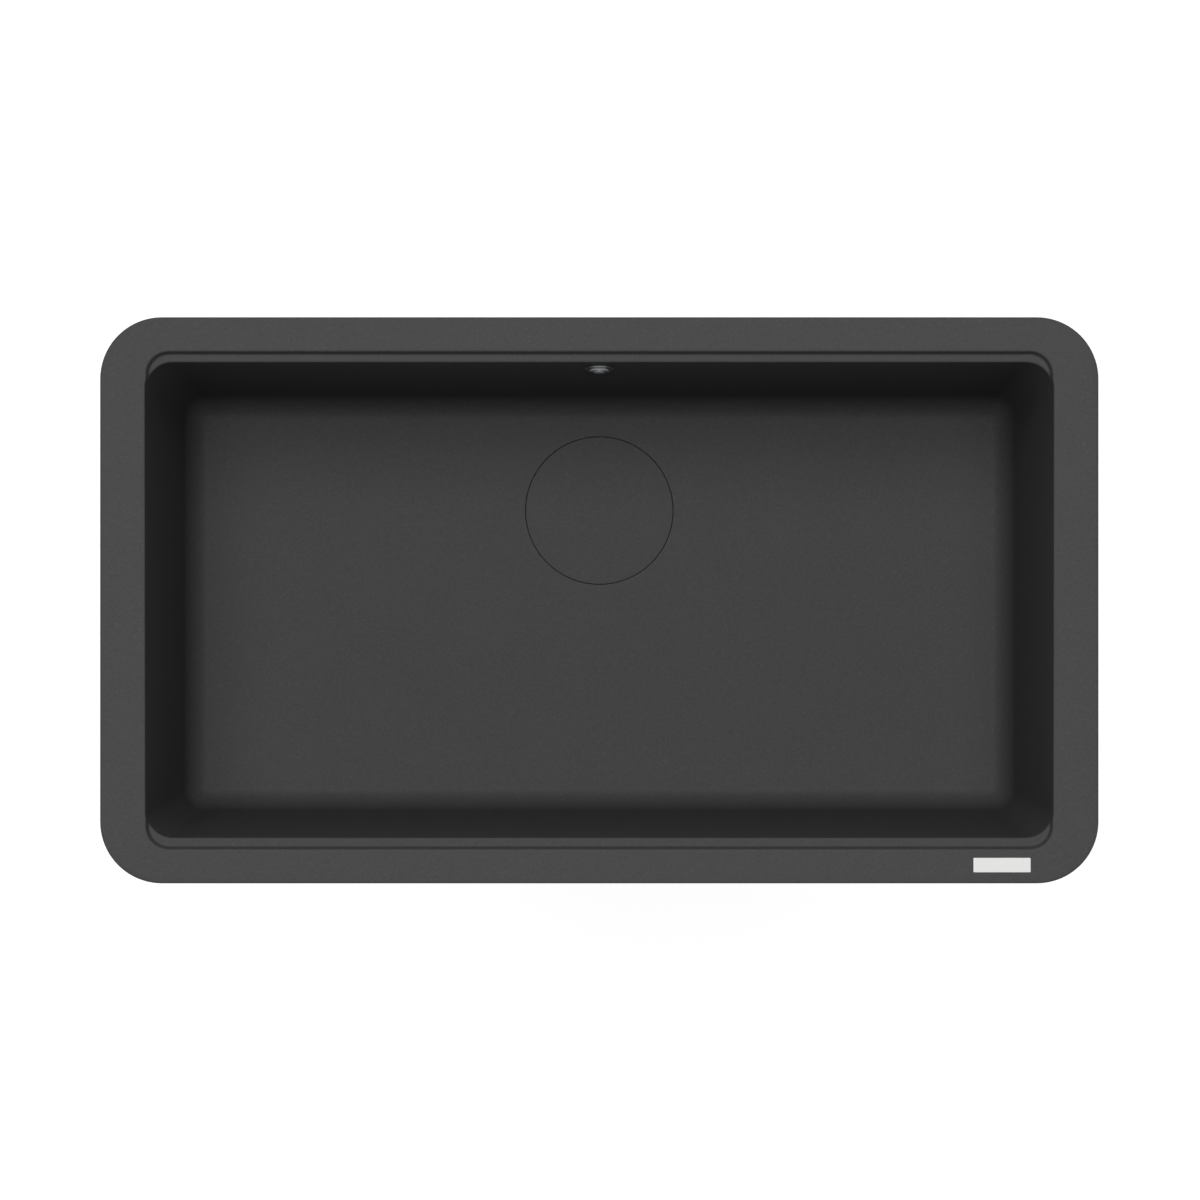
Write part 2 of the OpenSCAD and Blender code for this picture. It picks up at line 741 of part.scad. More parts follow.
// Corners of one ring across the hose
function hose_ring(s, r) = let (p = hose_at(s), w = hose_way(s)) [
    for (k = [0 : hose_sides - 1]) let (a = k * 360 / hose_sides)
        [r * cos(a), p[0] - w[1] * r * sin(a), p[1] + w[0] * r * sin(a)]
];
// Triangles between ring i and the next, turned over for the bore
function ring_faces(first, i, turn) = [
    for (k = [0 : hose_sides - 1]) let (
        k2 = (k + 1) % hose_sides,
        a = first + i * hose_sides + k,
        b = first + i * hose_sides + k2,
        c = a + hose_sides,
        d = b + hose_sides
    ) each (turn ? [[a, b, c], [b, d, c]] : [[a, c, b], [b, c, d]])
];
// Triangles that close one end between the outside and the bore
function end_faces(outer, inner, turn) = [
    for (k = [0 : hose_sides - 1]) let (
        k2 = (k + 1) % hose_sides
    ) each (turn
        ? [[outer + k, inner + k, outer + k2], [outer + k2, inner + k, inner + k2]]
        : [[outer + k, outer + k2, inner + k], [outer + k2, inner + k2, inner + k]])
];

module overflow_hose() {
    n = len(HOSE_RINGS);
    bore_r = hose_bore_d / 2;
    outer_points = [for (g = HOSE_RINGS) each hose_ring(g[0], g[1])];
    bore_points = [for (g = HOSE_RINGS) each hose_ring(g[0], bore_r)];
    bore = n * hose_sides;
    last = (n - 1) * hose_sides;
    color(hose_col) polyhedron(
        points = concat(outer_points, bore_points),
        faces = concat(
            [for (i = [0 : n - 2]) each ring_faces(0, i, false)],
            [for (i = [0 : n - 2]) each ring_faces(bore, i, true)],
            end_faces(0, bore, false),
            end_faces(last, bore + last, true)
        )
    );
}

// A union nut that hangs from z = 0, over a thread above and the hose's collar below
module union_nut() {
    translate([0, 0, -nut_h]) difference() {
        cylinder(r = nut_r, h = nut_h);
        translate([0, 0, nut_lip]) cylinder(r = inlet_r + slip, h = nut_h);
        translate([0, 0, -1]) cylinder(r = cuff_r + 0.2, h = nut_h);
    }
}

// Puts a shape at each union, with Z pointing back into the thread
module at_unions(back) {
    at_overflow() translate([0, spigot_y, -spigot_foot - thread_len + back]) children();
    at_waste(inlet_z) translate([0, body_r + inlet_len - back, 0]) rotate([90, 0, 0]) children();
}

module hose_nuts() {
    color(plastic_col) at_unions(nut_h - washer_t - collar_t - collar_foot - nut_lip) union_nut();
}

module hose_washers() {
    color(rubber_col) at_unions(0) translate([0, 0, -washer_t])
        ring(inlet_r - slip, hose_bore_d / 2, washer_t);
}

module claw_inserts() {
    color(brass_col) for (c = CLAWS) translate([c[0], c[1], -claw_boss_h])
        ring(claw_insert_d / 2, claw_screw_d / 2, claw_insert_h);
}

module claw_screws() {
    head_z = -claw_drop - claw_t - claw_washer_t;
    color(steel_col) for (c = CLAWS) translate([c[0], c[1], 0]) difference() {
        union() {
            translate([0, 0, head_z]) cylinder(d = claw_screw_d, h = -3 - head_z);
            translate([0, 0, head_z - claw_head_h])
                cylinder(r1 = claw_head_r - 1, r2 = claw_head_r, h = claw_head_h);
        }
        for (a = [0, 90]) rotate([0, 0, a])
            translate([-2.6, -0.55, head_z - claw_head_h - 1]) cube([5.2, 1.1, 3]);
    }
}

module claw_washers() {
    color(steel_col) for (c = CLAWS) translate([c[0], c[1], -claw_drop - claw_t - claw_washer_t])
        ring(claw_washer_r, claw_screw_d / 2 + slip, claw_washer_t);
}

// One claw, parked along the wall: a strip with a raised toe
module claw(i) {
    heel = claw_w / 2;
    color(steel_col) translate([CLAWS[i][0], CLAWS[i][1], -claw_drop - claw_t])
        rotate([0, 0, CLAWS[i][2] - 90]) difference() {
            union() {
                translate([0, -claw_w / 2, 0]) cube([claw_reach, claw_w, claw_t]);
                cylinder(r = heel, h = claw_t);
                translate([claw_reach - claw_t, -claw_w / 2, 0]) cube([claw_t, claw_w, claw_t + claw_lip]);
                translate([claw_reach * 0.45, -claw_t / 2, claw_t - 0.5])
                    cube([claw_reach * 0.45, claw_t, claw_t]);
            }
            translate([0, 0, -1]) cylinder(r = claw_screw_d / 2 + slip, h = claw_t + 2);
        }
}

module claw_front_left() { claw(0); }
module claw_front_middle() { claw(1); }
module claw_front_right() { claw(2); }
module claw_back_left() { claw(3); }
module claw_back_middle() { claw(4); }
module claw_back_right() { claw(5); }
module claw_left() { claw(6); }
module claw_right() { claw(7); }

basin();
rim_label();
rim_seal();
waste_cover();
cover_feet();
strainer_basket();
basket_stem();
basket_knob();
basket_seal();
waste_flange();
flange_seal();
body_seal();
waste_body();
clamp_screw();
clamp_insert();
overflow_rose();
overflow_cap();
overflow_screw();
overflow_washer();
elbow_seal();
overflow_elbow();
elbow_insert();
overflow_hose();
hose_nuts();
hose_washers();
claw_inserts();
claw_screws();
claw_washers();
claw_front_left();
claw_front_middle();
claw_front_right();
claw_back_left();
claw_back_middle();
claw_back_right();
claw_left();
claw_right();
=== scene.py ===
"""Inset kitchen sink in dark granite composite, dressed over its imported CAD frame.

Every class but the studio works in millimetres and hands metres to Blender. X runs left to
right, Y front to back and Z up, from the middle of the rim at worktop height.
"""

import logging
import math
from collections.abc import Callable, Sequence
from dataclasses import dataclass, field
from enum import Enum

import bmesh
import bpy
import numpy as np
from mathutils import Matrix, Vector
from mathutils.geometry import delaunay_2d_cdt


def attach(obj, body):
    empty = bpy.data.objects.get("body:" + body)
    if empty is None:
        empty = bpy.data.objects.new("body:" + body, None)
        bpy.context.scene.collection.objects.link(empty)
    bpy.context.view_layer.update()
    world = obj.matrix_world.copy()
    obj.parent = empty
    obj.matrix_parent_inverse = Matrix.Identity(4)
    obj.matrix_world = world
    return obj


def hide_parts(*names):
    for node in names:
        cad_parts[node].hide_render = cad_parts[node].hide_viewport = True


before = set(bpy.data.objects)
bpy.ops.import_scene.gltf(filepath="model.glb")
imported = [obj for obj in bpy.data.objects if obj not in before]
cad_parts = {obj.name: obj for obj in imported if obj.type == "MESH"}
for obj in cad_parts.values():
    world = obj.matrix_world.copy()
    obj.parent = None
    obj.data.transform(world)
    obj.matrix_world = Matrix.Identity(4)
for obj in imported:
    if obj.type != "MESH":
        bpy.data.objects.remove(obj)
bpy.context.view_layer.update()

MM = 0.001
LOG = logging.getLogger("sink")

Tree = bpy.types.NodeTree
Socket = bpy.types.NodeSocket


class Slot(str, Enum):
    """The record's material slots."""

    STONE = "stone"
    LABEL = "label"
    FOAM = "foam"
    RUBBER = "rubber"
    STEEL = "steel"
    CHROME = "chrome"
    BRASS = "brass"
    DARK_PLASTIC = "dark_plastic"
    HOSE_PLASTIC = "hose_plastic"


class Body(str, Enum):
    """The bodies that pieces ride on, apart from the claws, which are named after their nodes."""

    ROOT = "root"
    BASKET = "basket"
    COVER = "cover"


# Nodes and colours


def linear(code: str) -> tuple[float, float, float, float]:
    """Turns an sRGB hex value into linear colour.

    Args:
        code: Six hex digits after a hash sign.

    Returns:
        Red, green, blue and an alpha of 1.
    """
    parts = [int(code[i : i + 2], 16) / 255 for i in (1, 3, 5)]
    return (*(c / 12.92 if c <= 0.04045 else ((c + 0.055) / 1.055) ** 2.4 for c in parts), 1.0)


def add_node(tree: Tree, kind: str, inputs: dict | None = None, **settings: object) -> bpy.types.Node:
    """Adds one node, sets its settings and sockets, and links each socket given as an output.

    Args:
        tree: The node tree.
        kind: Blender's name for the node.
        inputs: Socket name or number to a plain value or to another node's output.
        **settings: The node's own properties.

    Returns:
        The new node.
    """
    node = tree.nodes.new(kind)
    for key, value in settings.items():
        setattr(node, key, value)
    for key, value in (inputs or {}).items():
        if isinstance(value, Socket):
            tree.links.new(value, node.inputs[key])
        else:
            node.inputs[key].default_value = value
    return node


# Finishes


@dataclass(frozen=True)
class Finish:
    """What a piece is made of and how its surface was made. Sizes of patterns are in millimetres.

    Attributes:
        name: Name of the material.
        colour: Its main colour as an sRGB hex value.
        slot: The record's slot that it fills. Not used.
        roughness: Middle of the roughness.
        metallic: 1 for bare metal, less for a plate that scatters.
        ior: Index of refraction.
        specular: Level of the reflection of what isn't metal.
        patch: Width of the soft patches in the gloss.
        swing: How far the roughness goes either way.
        bump: How much of the bump shows.
        bump_depth: Depth of the bump.
    """

    name: str
    colour: str
    slot: Slot
    roughness: float
    metallic: float = 0.0
    ior: float = 1.5
    specular: float = 0.5
    patch: float = 12.0
    swing: float = 0.04
    bump: float = 0.3
    bump_depth: float = 0.04

    def material(self) -> bpy.types.Material:
        """Builds the material, or finds it if it's there.

        Returns:
            The material, with its pattern on Object coordinates.
        """
        found = bpy.data.materials.get(self.name)
        if found:
            return found
        made = bpy.data.materials.new(self.name)
        made.use_nodes = True
        tree = made.node_tree
        tree.nodes.clear()
        shader = add_node(
            tree,
            "ShaderNodeBsdfPrincipled",
            {
                "Base Color": linear(self.colour),
                "Roughness": self.roughness,
                "Metallic": self.metallic,
                "IOR": self.ior,
                "Specular IOR Level": self.specular,
            },
        )
        add_node(tree, "ShaderNodeOutputMaterial", {"Surface": shader.outputs["BSDF"]})
        where = add_node(tree, "ShaderNodeTexCoord").outputs["Object"]
        self.pattern(tree, where, shader)
        return made

    def pattern(self, tree: Tree, where: Socket, shader: bpy.types.Node) -> None:
        """Adds the surface's own detail. A plain finish gets a faint unevenness in its gloss."""
        self.uneven_gloss(tree, where, shader)

    def uneven_gloss(self, tree: Tree, where: Socket, shader: bpy.types.Node) -> None:
        """Varies the roughness in soft patches."""
        patches = self.noise(tree, where, self.patch, 3.0)
        self.gloss(tree, patches, shader, self.roughness - self.swing, self.roughness + self.swing)

    @staticmethod
    def gloss(tree: Tree, share: Socket, shader: bpy.types.Node, low: float, high: float) -> None:
        """Lets a share from 0 to 1 set the roughness.

        Args:
            tree: The material's tree.
            share: The share.
            shader: The Principled shader.
            low: Roughness at 0.
            high: Roughness at 1.
        """
        spread = add_node(tree, "ShaderNodeMapRange", {"Value": share, "To Min": low, "To Max": high})
        tree.links.new(spread.outputs["Result"], shader.inputs["Roughness"])

    @staticmethod
    def noise(tree: Tree, where: Socket, size: float, detail: float = 2.0) -> Socket:
        """Smooth noise from 0 to 1.

        Args:
            tree: The material's tree.
            where: The coordinates, in metres.
            size: Width of a patch in millimetres.
            detail: How many finer layers lie on it.

        Returns:
            The noise's factor.
        """
        return add_node(
            tree, "ShaderNodeTexNoise", {"Vector": where, "Scale": 1 / (size * MM), "Detail": detail}
        ).outputs["Fac"]

    @staticmethod
    def tones(tree: Tree, share: Socket, *stops: tuple[float, str]) -> Socket:
        """Turns a share into a colour.

        Args:
            tree: The material's tree.
            share: A share from 0 to 1.
            *stops: The place and the colour of each stop, in order.

        Returns:
            The colour.
        """
        node = add_node(tree, "ShaderNodeValToRGB", {"Fac": share})
        ramp = node.color_ramp
        for number, (place, code) in enumerate((stops[0], stops[-1])):
            ramp.elements[number].position = place
            ramp.elements[number].color = linear(code)
        for place, code in stops[1:-1]:
            ramp.elements.new(place).color = linear(code)
        return node.outputs["Color"]

    @staticmethod
    def between(tree: Tree, value: Socket, span: tuple[float, float], to: tuple[float, float]) -> Socket:
        """Maps a coordinate's span in millimetres to a range of values, held at both ends."""
        inputs = {"Value": value, "From Min": span[0] * MM, "From Max": span[1] * MM, "To Min": to[0], "To Max": to[1]}
        return add_node(tree, "ShaderNodeMapRange", inputs).outputs["Result"]

    def bumped(self, tree: Tree, height: Socket, shader: bpy.types.Node) -> None:
        """Feeds a height from 0 to 1 to the shader's normal."""
        relief = add_node(
            tree, "ShaderNodeBump", {"Height": height, "Strength": self.bump, "Distance": self.bump_depth * MM}
        )
        tree.links.new(relief.outputs["Normal"], shader.inputs["Normal"])


@dataclass(frozen=True)
class CastStone(Finish):
    """Quartz sand in resin, cast against a matt mould: fine grains in close greys."""

    # Real sand is 0.3 to 0.8 mm. The grains are drawn at 1.1 mm, so that they show in the render.
    grain: float = 1.1
    dark_grain: str = "#464647"
    pale_grain: str = "#505051"
    dark_share: float = 0.22
    pale_from: float = 0.8
    pit: float = 0.7
    # Painted shade: the colour is scaled by a factor that falls with height, from 1 on the rim to the ledge's share at
    # the ledge and to the bowl's share at the bowl's floor.
    painted_bowl_shade: float = 0.8
    painted_ledge_shade: float = 0.93
    rim_z: float = 10.0
    ledge_z: float = 4.0
    bowl_z: float = -190.0
    patch: float = 40.0
    swing: float = 0.03
    bump: float = 0.35
    bump_depth: float = 0.05

    def pattern(self, tree: Tree, where: Socket, shader: bpy.types.Node) -> None:
        """Gives each grain its own grey, a painted shade that darkens the colour down the bowl and on the ledge under
        the rim, and a dry, slightly pitted surface.
        """
        grains = add_node(tree, "ShaderNodeTexVoronoi", {"Vector": where, "Scale": 1 / (self.grain * MM)})
        shade = add_node(tree, "ShaderNodeSeparateColor", {"Color": grains.outputs["Color"]}).outputs[0]
        colour = self.tones(
            tree,
            shade,
            (0.0, self.dark_grain),
            (self.dark_share, self.colour),
            (self.pale_from, self.colour),
            (1.0, self.pale_grain),
        )
        # Painted shade: multiplies the grain colour by a factor that is lower on the ledge and lower still down the
        # bowl.
        height = add_node(tree, "ShaderNodeSeparateXYZ", {"Vector": where}).outputs["Z"]
        low = self.between(tree, height, (self.bowl_z, self.ledge_z), (self.painted_bowl_shade, self.painted_ledge_shade))
        high = self.between(tree, height, (self.ledge_z, self.rim_z), (0.0, 1.0 - self.painted_ledge_shade))
        shade_factor = add_node(tree, "ShaderNodeMath", {0: low, 1: high}, operation="ADD").outputs[0]
        shaded_colour = add_node(tree, "ShaderNodeVectorMath", {"Vector": colour, "Scale": shade_factor}, operation="SCALE")
        tree.links.new(shaded_colour.outputs["Vector"], shader.inputs["Base Color"])
        self.bumped(tree, self.noise(tree, where, self.pit), shader)
        self.uneven_gloss(tree, where, shader)


@dataclass(frozen=True)
class SpunSteel(Finish):
    """Sheet steel, pressed and polished in the lathe: fine rings round the waste's axis."""

    axis_y: float = 71.0
    line: float = 0.35
    smoother: float = 0.08
    rougher: float = 0.1
    bump: float = 0.2
    bump_depth: float = 0.02

    def pattern(self, tree: Tree, where: Socket, shader: bpy.types.Node) -> None:
        """Draws polishing rings in the roughness and a faint bump."""
        moved = add_node(tree, "ShaderNodeMapping", {"Vector": where, "Location": (0, -self.axis_y * MM, 0)}).outputs[0]
        flat = add_node(tree, "ShaderNodeVectorMath", {0: moved, 1: (1, 1, 0)}, operation="MULTIPLY").outputs[0]
        radius = add_node(tree, "ShaderNodeVectorMath", {0: flat}, operation="LENGTH").outputs["Value"]
        height = add_node(tree, "ShaderNodeSeparateXYZ", {"Vector": moved}).outputs["Z"]
        place = add_node(tree, "ShaderNodeCombineXYZ", {"X": radius, "Y": height}).outputs[0]
        rings = self.noise(tree, place, self.line)
        self.gloss(tree, rings, shader, self.roughness - self.smoother, self.roughness + self.rougher)
        self.bumped(tree, rings, shader)


@dataclass(frozen=True)
class ZincSteel(Finish):
    """Strip steel, pressed and zinc plated: a cool grey with soft cloudy crystals."""

    dull: str = "#9a9da1"
    patch: float = 3.0
    swing: float = 0.08

    def pattern(self, tree: Tree, where: Socket, shader: bpy.types.Node) -> None:
        """Varies colour and gloss from crystal to crystal."""
        cloud = self.noise(tree, where, self.patch, 4.0)
        tree.links.new(self.tones(tree, cloud, (0.3, self.dull), (0.7, self.colour)), shader.inputs["Base Color"])
        self.uneven_gloss(tree, where, shader)


@dataclass(frozen=True)
class MouldedPlastic(Finish):
    """Polypropylene from a spark-eroded mould: even colour, a fine dull texture."""

    # A real eroded texture is 0.1 to 0.2 mm. It is drawn at 0.6 mm, so that it shows.
    texture: float = 0.6
    patch: float = 25.0
    swing: float = 0.05

    def pattern(self, tree: Tree, where: Socket, shader: bpy.types.Node) -> None:
        """Adds the mould's texture as bump, with gloss that drifts a little."""
        self.bumped(tree, self.noise(tree, where, self.texture), shader)
        self.uneven_gloss(tree, where, shader)


@dataclass(frozen=True)
class SoftRubber(Finish):
    """Moulded EPDM: near black, matt, with a dusty bloom."""

    dust: str = "#2a2a2b"
    bloom: float = 9.0
    texture: float = 0.5

    def pattern(self, tree: Tree, where: Socket, shader: bpy.types.Node) -> None:
        """Adds the bloom as slow patches of a paler grey, and a fine bump."""
        bloom = self.noise(tree, where, self.bloom, 5.0)
        tree.links.new(self.tones(tree, bloom, (0.45, self.colour), (0.8, self.dust)), shader.inputs["Base Color"])
        self.bumped(tree, self.noise(tree, where, self.texture), shader)


@dataclass(frozen=True)
class CellFoam(Finish):
    """Closed-cell polyethylene foam strip: soft, dull, with cut cells on its face."""

    cell: float = 0.8
    # Colour of the painted shade at the bottom of each cut cell.
    hollow: str = "#161617"
    bump: float = 0.6
    bump_depth: float = 0.15

    def pattern(self, tree: Tree, where: Socket, shader: bpy.types.Node) -> None:
        """Draws the cut cells as small dents, with painted shade that darkens their bottoms."""
        cells = add_node(tree, "ShaderNodeTexVoronoi", {"Vector": where, "Scale": 1 / (self.cell * MM)})
        depth = cells.outputs["Distance"]
        tree.links.new(self.tones(tree, depth, (0.0, self.hollow), (0.5, self.colour)), shader.inputs["Base Color"])
        self.bumped(tree, depth, shader)


@dataclass(frozen=True)
class Plated(Finish):
    """Plated metal, from satin silver to smoked chrome, with the faintest polishing haze."""

    patch: float = 4.0
    swing: float = 0.03


STONE = CastStone("cast_granite_composite", "#4a4a4b", Slot.STONE, roughness=0.6, specular=0.15)
LABEL_FILM = MouldedPlastic("satin_label_film", "#f8f8f6", Slot.LABEL, roughness=0.55, specular=0.3)
FOAM = CellFoam("closed_cell_foam", "#2e2e30", Slot.FOAM, roughness=0.95, specular=0.2)
RUBBER = SoftRubber("moulded_epdm_rubber", "#1c1c1d", Slot.RUBBER, roughness=0.75)
STEEL = SpunSteel("spun_stainless_steel", "#b9bcbf", Slot.STEEL, roughness=0.28, metallic=1.0)
ZINC = ZincSteel("zinc_plated_strip_steel", "#c3c6c9", Slot.STEEL, roughness=0.38, metallic=1.0)
SATIN = Plated("satin_silver_plate", "#e0e2e4", Slot.CHROME, roughness=0.65, metallic=0.5)
SMOKED = Plated("smoked_chrome_plate", "#85888a", Slot.CHROME, roughness=0.3, metallic=1.0)
SCREW_STEEL = Plated("satin_screw_steel", "#a9acae", Slot.CHROME, roughness=0.55, metallic=1.0)
BRASS = SpunSteel("turned_brass", "#b89b58", Slot.BRASS, roughness=0.32, metallic=1.0)
DARK_PLASTIC = MouldedPlastic("moulded_polypropylene", "#3b3d40", Slot.DARK_PLASTIC, roughness=0.5)
HOSE_PLASTIC = MouldedPlastic("blown_polypropylene", "#8f9296", Slot.HOSE_PLASTIC, roughness=0.45, texture=1.0)


# Mesh code


class Surface:
    """Points in millimetres and faces, gathered row by row and turned into one mesh."""

    def __init__(self) -> None:
        """Starts with no points and no faces."""
        self.points: list[np.ndarray] = []
        self.faces: list[tuple[int, ...]] = []
        self.count = 0

    def row(self, points: np.ndarray) -> np.ndarray:
        """Adds a row of points and returns their numbers."""
        self.points.append(np.asarray(points, float))
        self.count += len(points)
        return np.arange(self.count - len(points), self.count)

    def band(self, a: np.ndarray, b: np.ndarray, closed: bool = True) -> None:
        """Joins two rows of equal length with quads.

        Args:
            a: Numbers of one row.
            b: Numbers of the next.
            closed: Whether the last point joins the first.
        """
        n = len(a)
        for i in range(n if closed else n - 1):
            j = (i + 1) % n
            self.faces.append((int(a[i]), int(a[j]), int(b[j]), int(b[i])))

    def skin(self, rows: Sequence[np.ndarray], closed: bool = True) -> list[np.ndarray]:
        """Adds rows of points and joins each to the next.

        Args:
            rows: Arrays of points.
            closed: Whether each row is a loop.

        Returns:
            The numbers of each row.
        """
        made = [self.row(r) for r in rows]
        for a, b in zip(made, made[1:]):
            self.band(a, b, closed)
        return made

    def cap(self, loop: np.ndarray) -> None:
        """Closes a loop with one flat face."""
        self.faces.append(tuple(int(i) for i in loop))

    def solid(self, rows: Sequence[np.ndarray]) -> None:
        """Joins rows of points into a closed solid, with a flat face at each end."""
        made = self.skin(rows)
        self.cap(made[0])
        self.cap(made[-1])

    def fill(self, outer: np.ndarray, inner: np.ndarray) -> None:
        """Fills the flat region between two loops, seen along Z.

        Args:
            outer: Numbers of the outer loop.
            inner: Numbers of the loop of the hole.
        """
        all_points = np.concatenate(self.points)
        numbers = np.concatenate([outer, inner])
        flat = [Vector(all_points[i][:2]) for i in numbers]
        hole = all_points[inner][:, :2]
        middle, reach = hole.mean(axis=0), np.linalg.norm(hole - hole.mean(axis=0), axis=1).min()
        loops = [list(range(len(outer))), list(range(len(outer), len(numbers)))]
        edges = [(loop[k - 1], loop[k]) for loop in loops for k in range(len(loop))]
        _, _, faces, points_from, _, _ = delaunay_2d_cdt(flat, edges, [], 1, 1e-6)
        for face in faces:
            first = [points_from[k][0] for k in face]
            centre = sum((np.array(flat[k]) for k in first), np.zeros(2)) / len(first)
            if np.linalg.norm(centre - middle) > reach * 0.999:
                self.faces.append(tuple(int(numbers[k]) for k in first))

    def mesh(self, name: str, place: Matrix | None = None) -> bpy.types.Object:
        """Makes an object at the origin.

        Args:
            name: The object's name.
            place: Where the millimetre points go.

        Returns:
            The object, with its normals outwards.
        """
        data = bpy.data.meshes.new(name)
        points = np.concatenate(self.points)
        data.from_pydata([tuple(p) for p in points], [], self.faces)
        data.transform(Matrix.Scale(MM, 4) @ (place or Matrix()))
        tidy_mesh(data)
        made = bpy.data.objects.new(name, data)
        bpy.context.collection.objects.link(made)
        return made


def tidy_mesh(data: bpy.types.Mesh, sharp: float = 32.0, merge: float = 0.002) -> None:
    """Merges doubles, turns normals outwards and shades smooth between sharp edges.

    Args:
        data: The mesh, in metres.
        sharp: Angle in degrees past which an edge is sharp.
        merge: Distance in millimetres under which points are one.
    """
    work = bmesh.new()
    work.from_mesh(data)
    bmesh.ops.remove_doubles(work, verts=work.verts, dist=merge * MM)
    bmesh.ops.dissolve_degenerate(work, edges=work.edges, dist=merge * MM * 0.5)
    bmesh.ops.recalc_face_normals(work, faces=work.faces)
    work.to_mesh(data)
    work.free()
    data.shade_smooth()
    data.set_sharp_from_angle(angle=math.radians(sharp))


def evaluated(piece: bpy.types.Object, name: str) -> bpy.types.Object:
    """Applies a piece's modifiers by copying the result, and removes the piece.

    Args:
        piece: The object with modifiers.
        name: The new object's name.

    Returns:
        A new object with the plain mesh.
    """
    graph = bpy.context.evaluated_depsgraph_get()
    data = bpy.data.meshes.new_from_object(piece.evaluated_get(graph), depsgraph=graph)
    old = piece.data
    bpy.data.objects.remove(piece)
    if isinstance(old, bpy.types.Mesh) and old.users == 0:
        bpy.data.meshes.remove(old)
    made = bpy.data.objects.new(name, data)
    data.name = name
    bpy.context.collection.objects.link(made)
    return made


def carved(piece: bpy.types.Object, tools: Sequence[bpy.types.Object], name: str) -> bpy.types.Object:
    """Cuts closed tools out of a piece.

    Args:
        piece: The piece, which is used up.
        tools: The tools, which are removed.
        name: The new object's name.

    Returns:
        The new object.
    """
    for tool in tools:
        cut = piece.modifiers.new("cut", "BOOLEAN")
        cut.operation = "DIFFERENCE"
        cut.object = tool
        cut.solver = "EXACT"
    made = evaluated(piece, name)
    for tool in tools:
        bpy.data.objects.remove(tool)
    return made


def joined(name: str, parts: Sequence[bpy.types.Object]) -> bpy.types.Object:
    """Puts several meshes into one object.

    Args:
        name: The object's name.
        parts: The objects, which are removed.

    Returns:
        The new object.
    """
    work = bmesh.new()
    for part in parts:
        work.from_mesh(part.data)
        bpy.data.objects.remove(part)
    data = bpy.data.meshes.new(name)
    work.to_mesh(data)
    work.free()
    made = bpy.data.objects.new(name, data)
    bpy.context.collection.objects.link(made)
    return made


def dress(
    piece: bpy.types.Object, finish: Finish, body: str, nodes: Sequence[str] = (), sharp: float | None = 32.0
) -> bpy.types.Object:
    """Gives a finished piece its material and its body, and hides the CAD nodes that it stands for.

    Args:
        piece: The piece.
        finish: Its finish.
        body: The body it rides on.
        nodes: The CAD nodes that it replaces.
        sharp: Angle of sharp edges in degrees, or None to keep the shading.

    Returns:
        The same piece.
    """
    piece.data.materials.clear()
    piece.data.materials.append(finish.material())
    if sharp is not None:
        piece.data.shade_smooth()
        piece.data.set_sharp_from_angle(angle=math.radians(sharp))
    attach(piece, body)
    if nodes:
        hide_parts(*nodes)
    LOG.info("%s: %d faces", piece.name, len(piece.data.polygons))
    return piece


def arc(cx: float, cz: float, r: float, start: float, end: float, steps: int) -> list[tuple[float, float]]:
    """Points along an arc in a profile, from one angle to another in degrees."""
    turns = np.radians(np.linspace(start, end, steps + 1))
    return [(cx + r * math.cos(t), cz + r * math.sin(t)) for t in turns]


def revolved(name: str, profile: Sequence[tuple[float, float]], place: Matrix, steps: int = 96) -> bpy.types.Object:
    """Turns a closed profile about Z.

    Args:
        name: The object's name.
        profile: Radius and height of each corner, in millimetres. A radius of 0 closes at the axis.
        place: Where the result goes.
        steps: Faces round the axis.

    Returns:
        The object.
    """
    shape = Surface()
    turns = np.linspace(0, 2 * math.pi, steps, endpoint=False)
    rows = []
    for r, z in profile:
        count = 1 if r < 1e-6 else steps
        rows.append(shape.row(np.stack([r * np.cos(turns), r * np.sin(turns), np.full(steps, z)], axis=1)[:count]))
    pairs = list(zip(rows, rows[1:] + rows[:1]))
    for a, b in pairs:
        if len(a) == 1 and len(b) == 1:
            continue
        if len(a) == 1 or len(b) == 1:
            tip, loop = (a[0], b) if len(a) == 1 else (b[0], a)
            shape.faces += [(int(tip), int(loop[i - 1]), int(loop[i])) for i in range(steps)]
        else:
            shape.band(a, b)
    return shape.mesh(name, place)


# Geometry Nodes


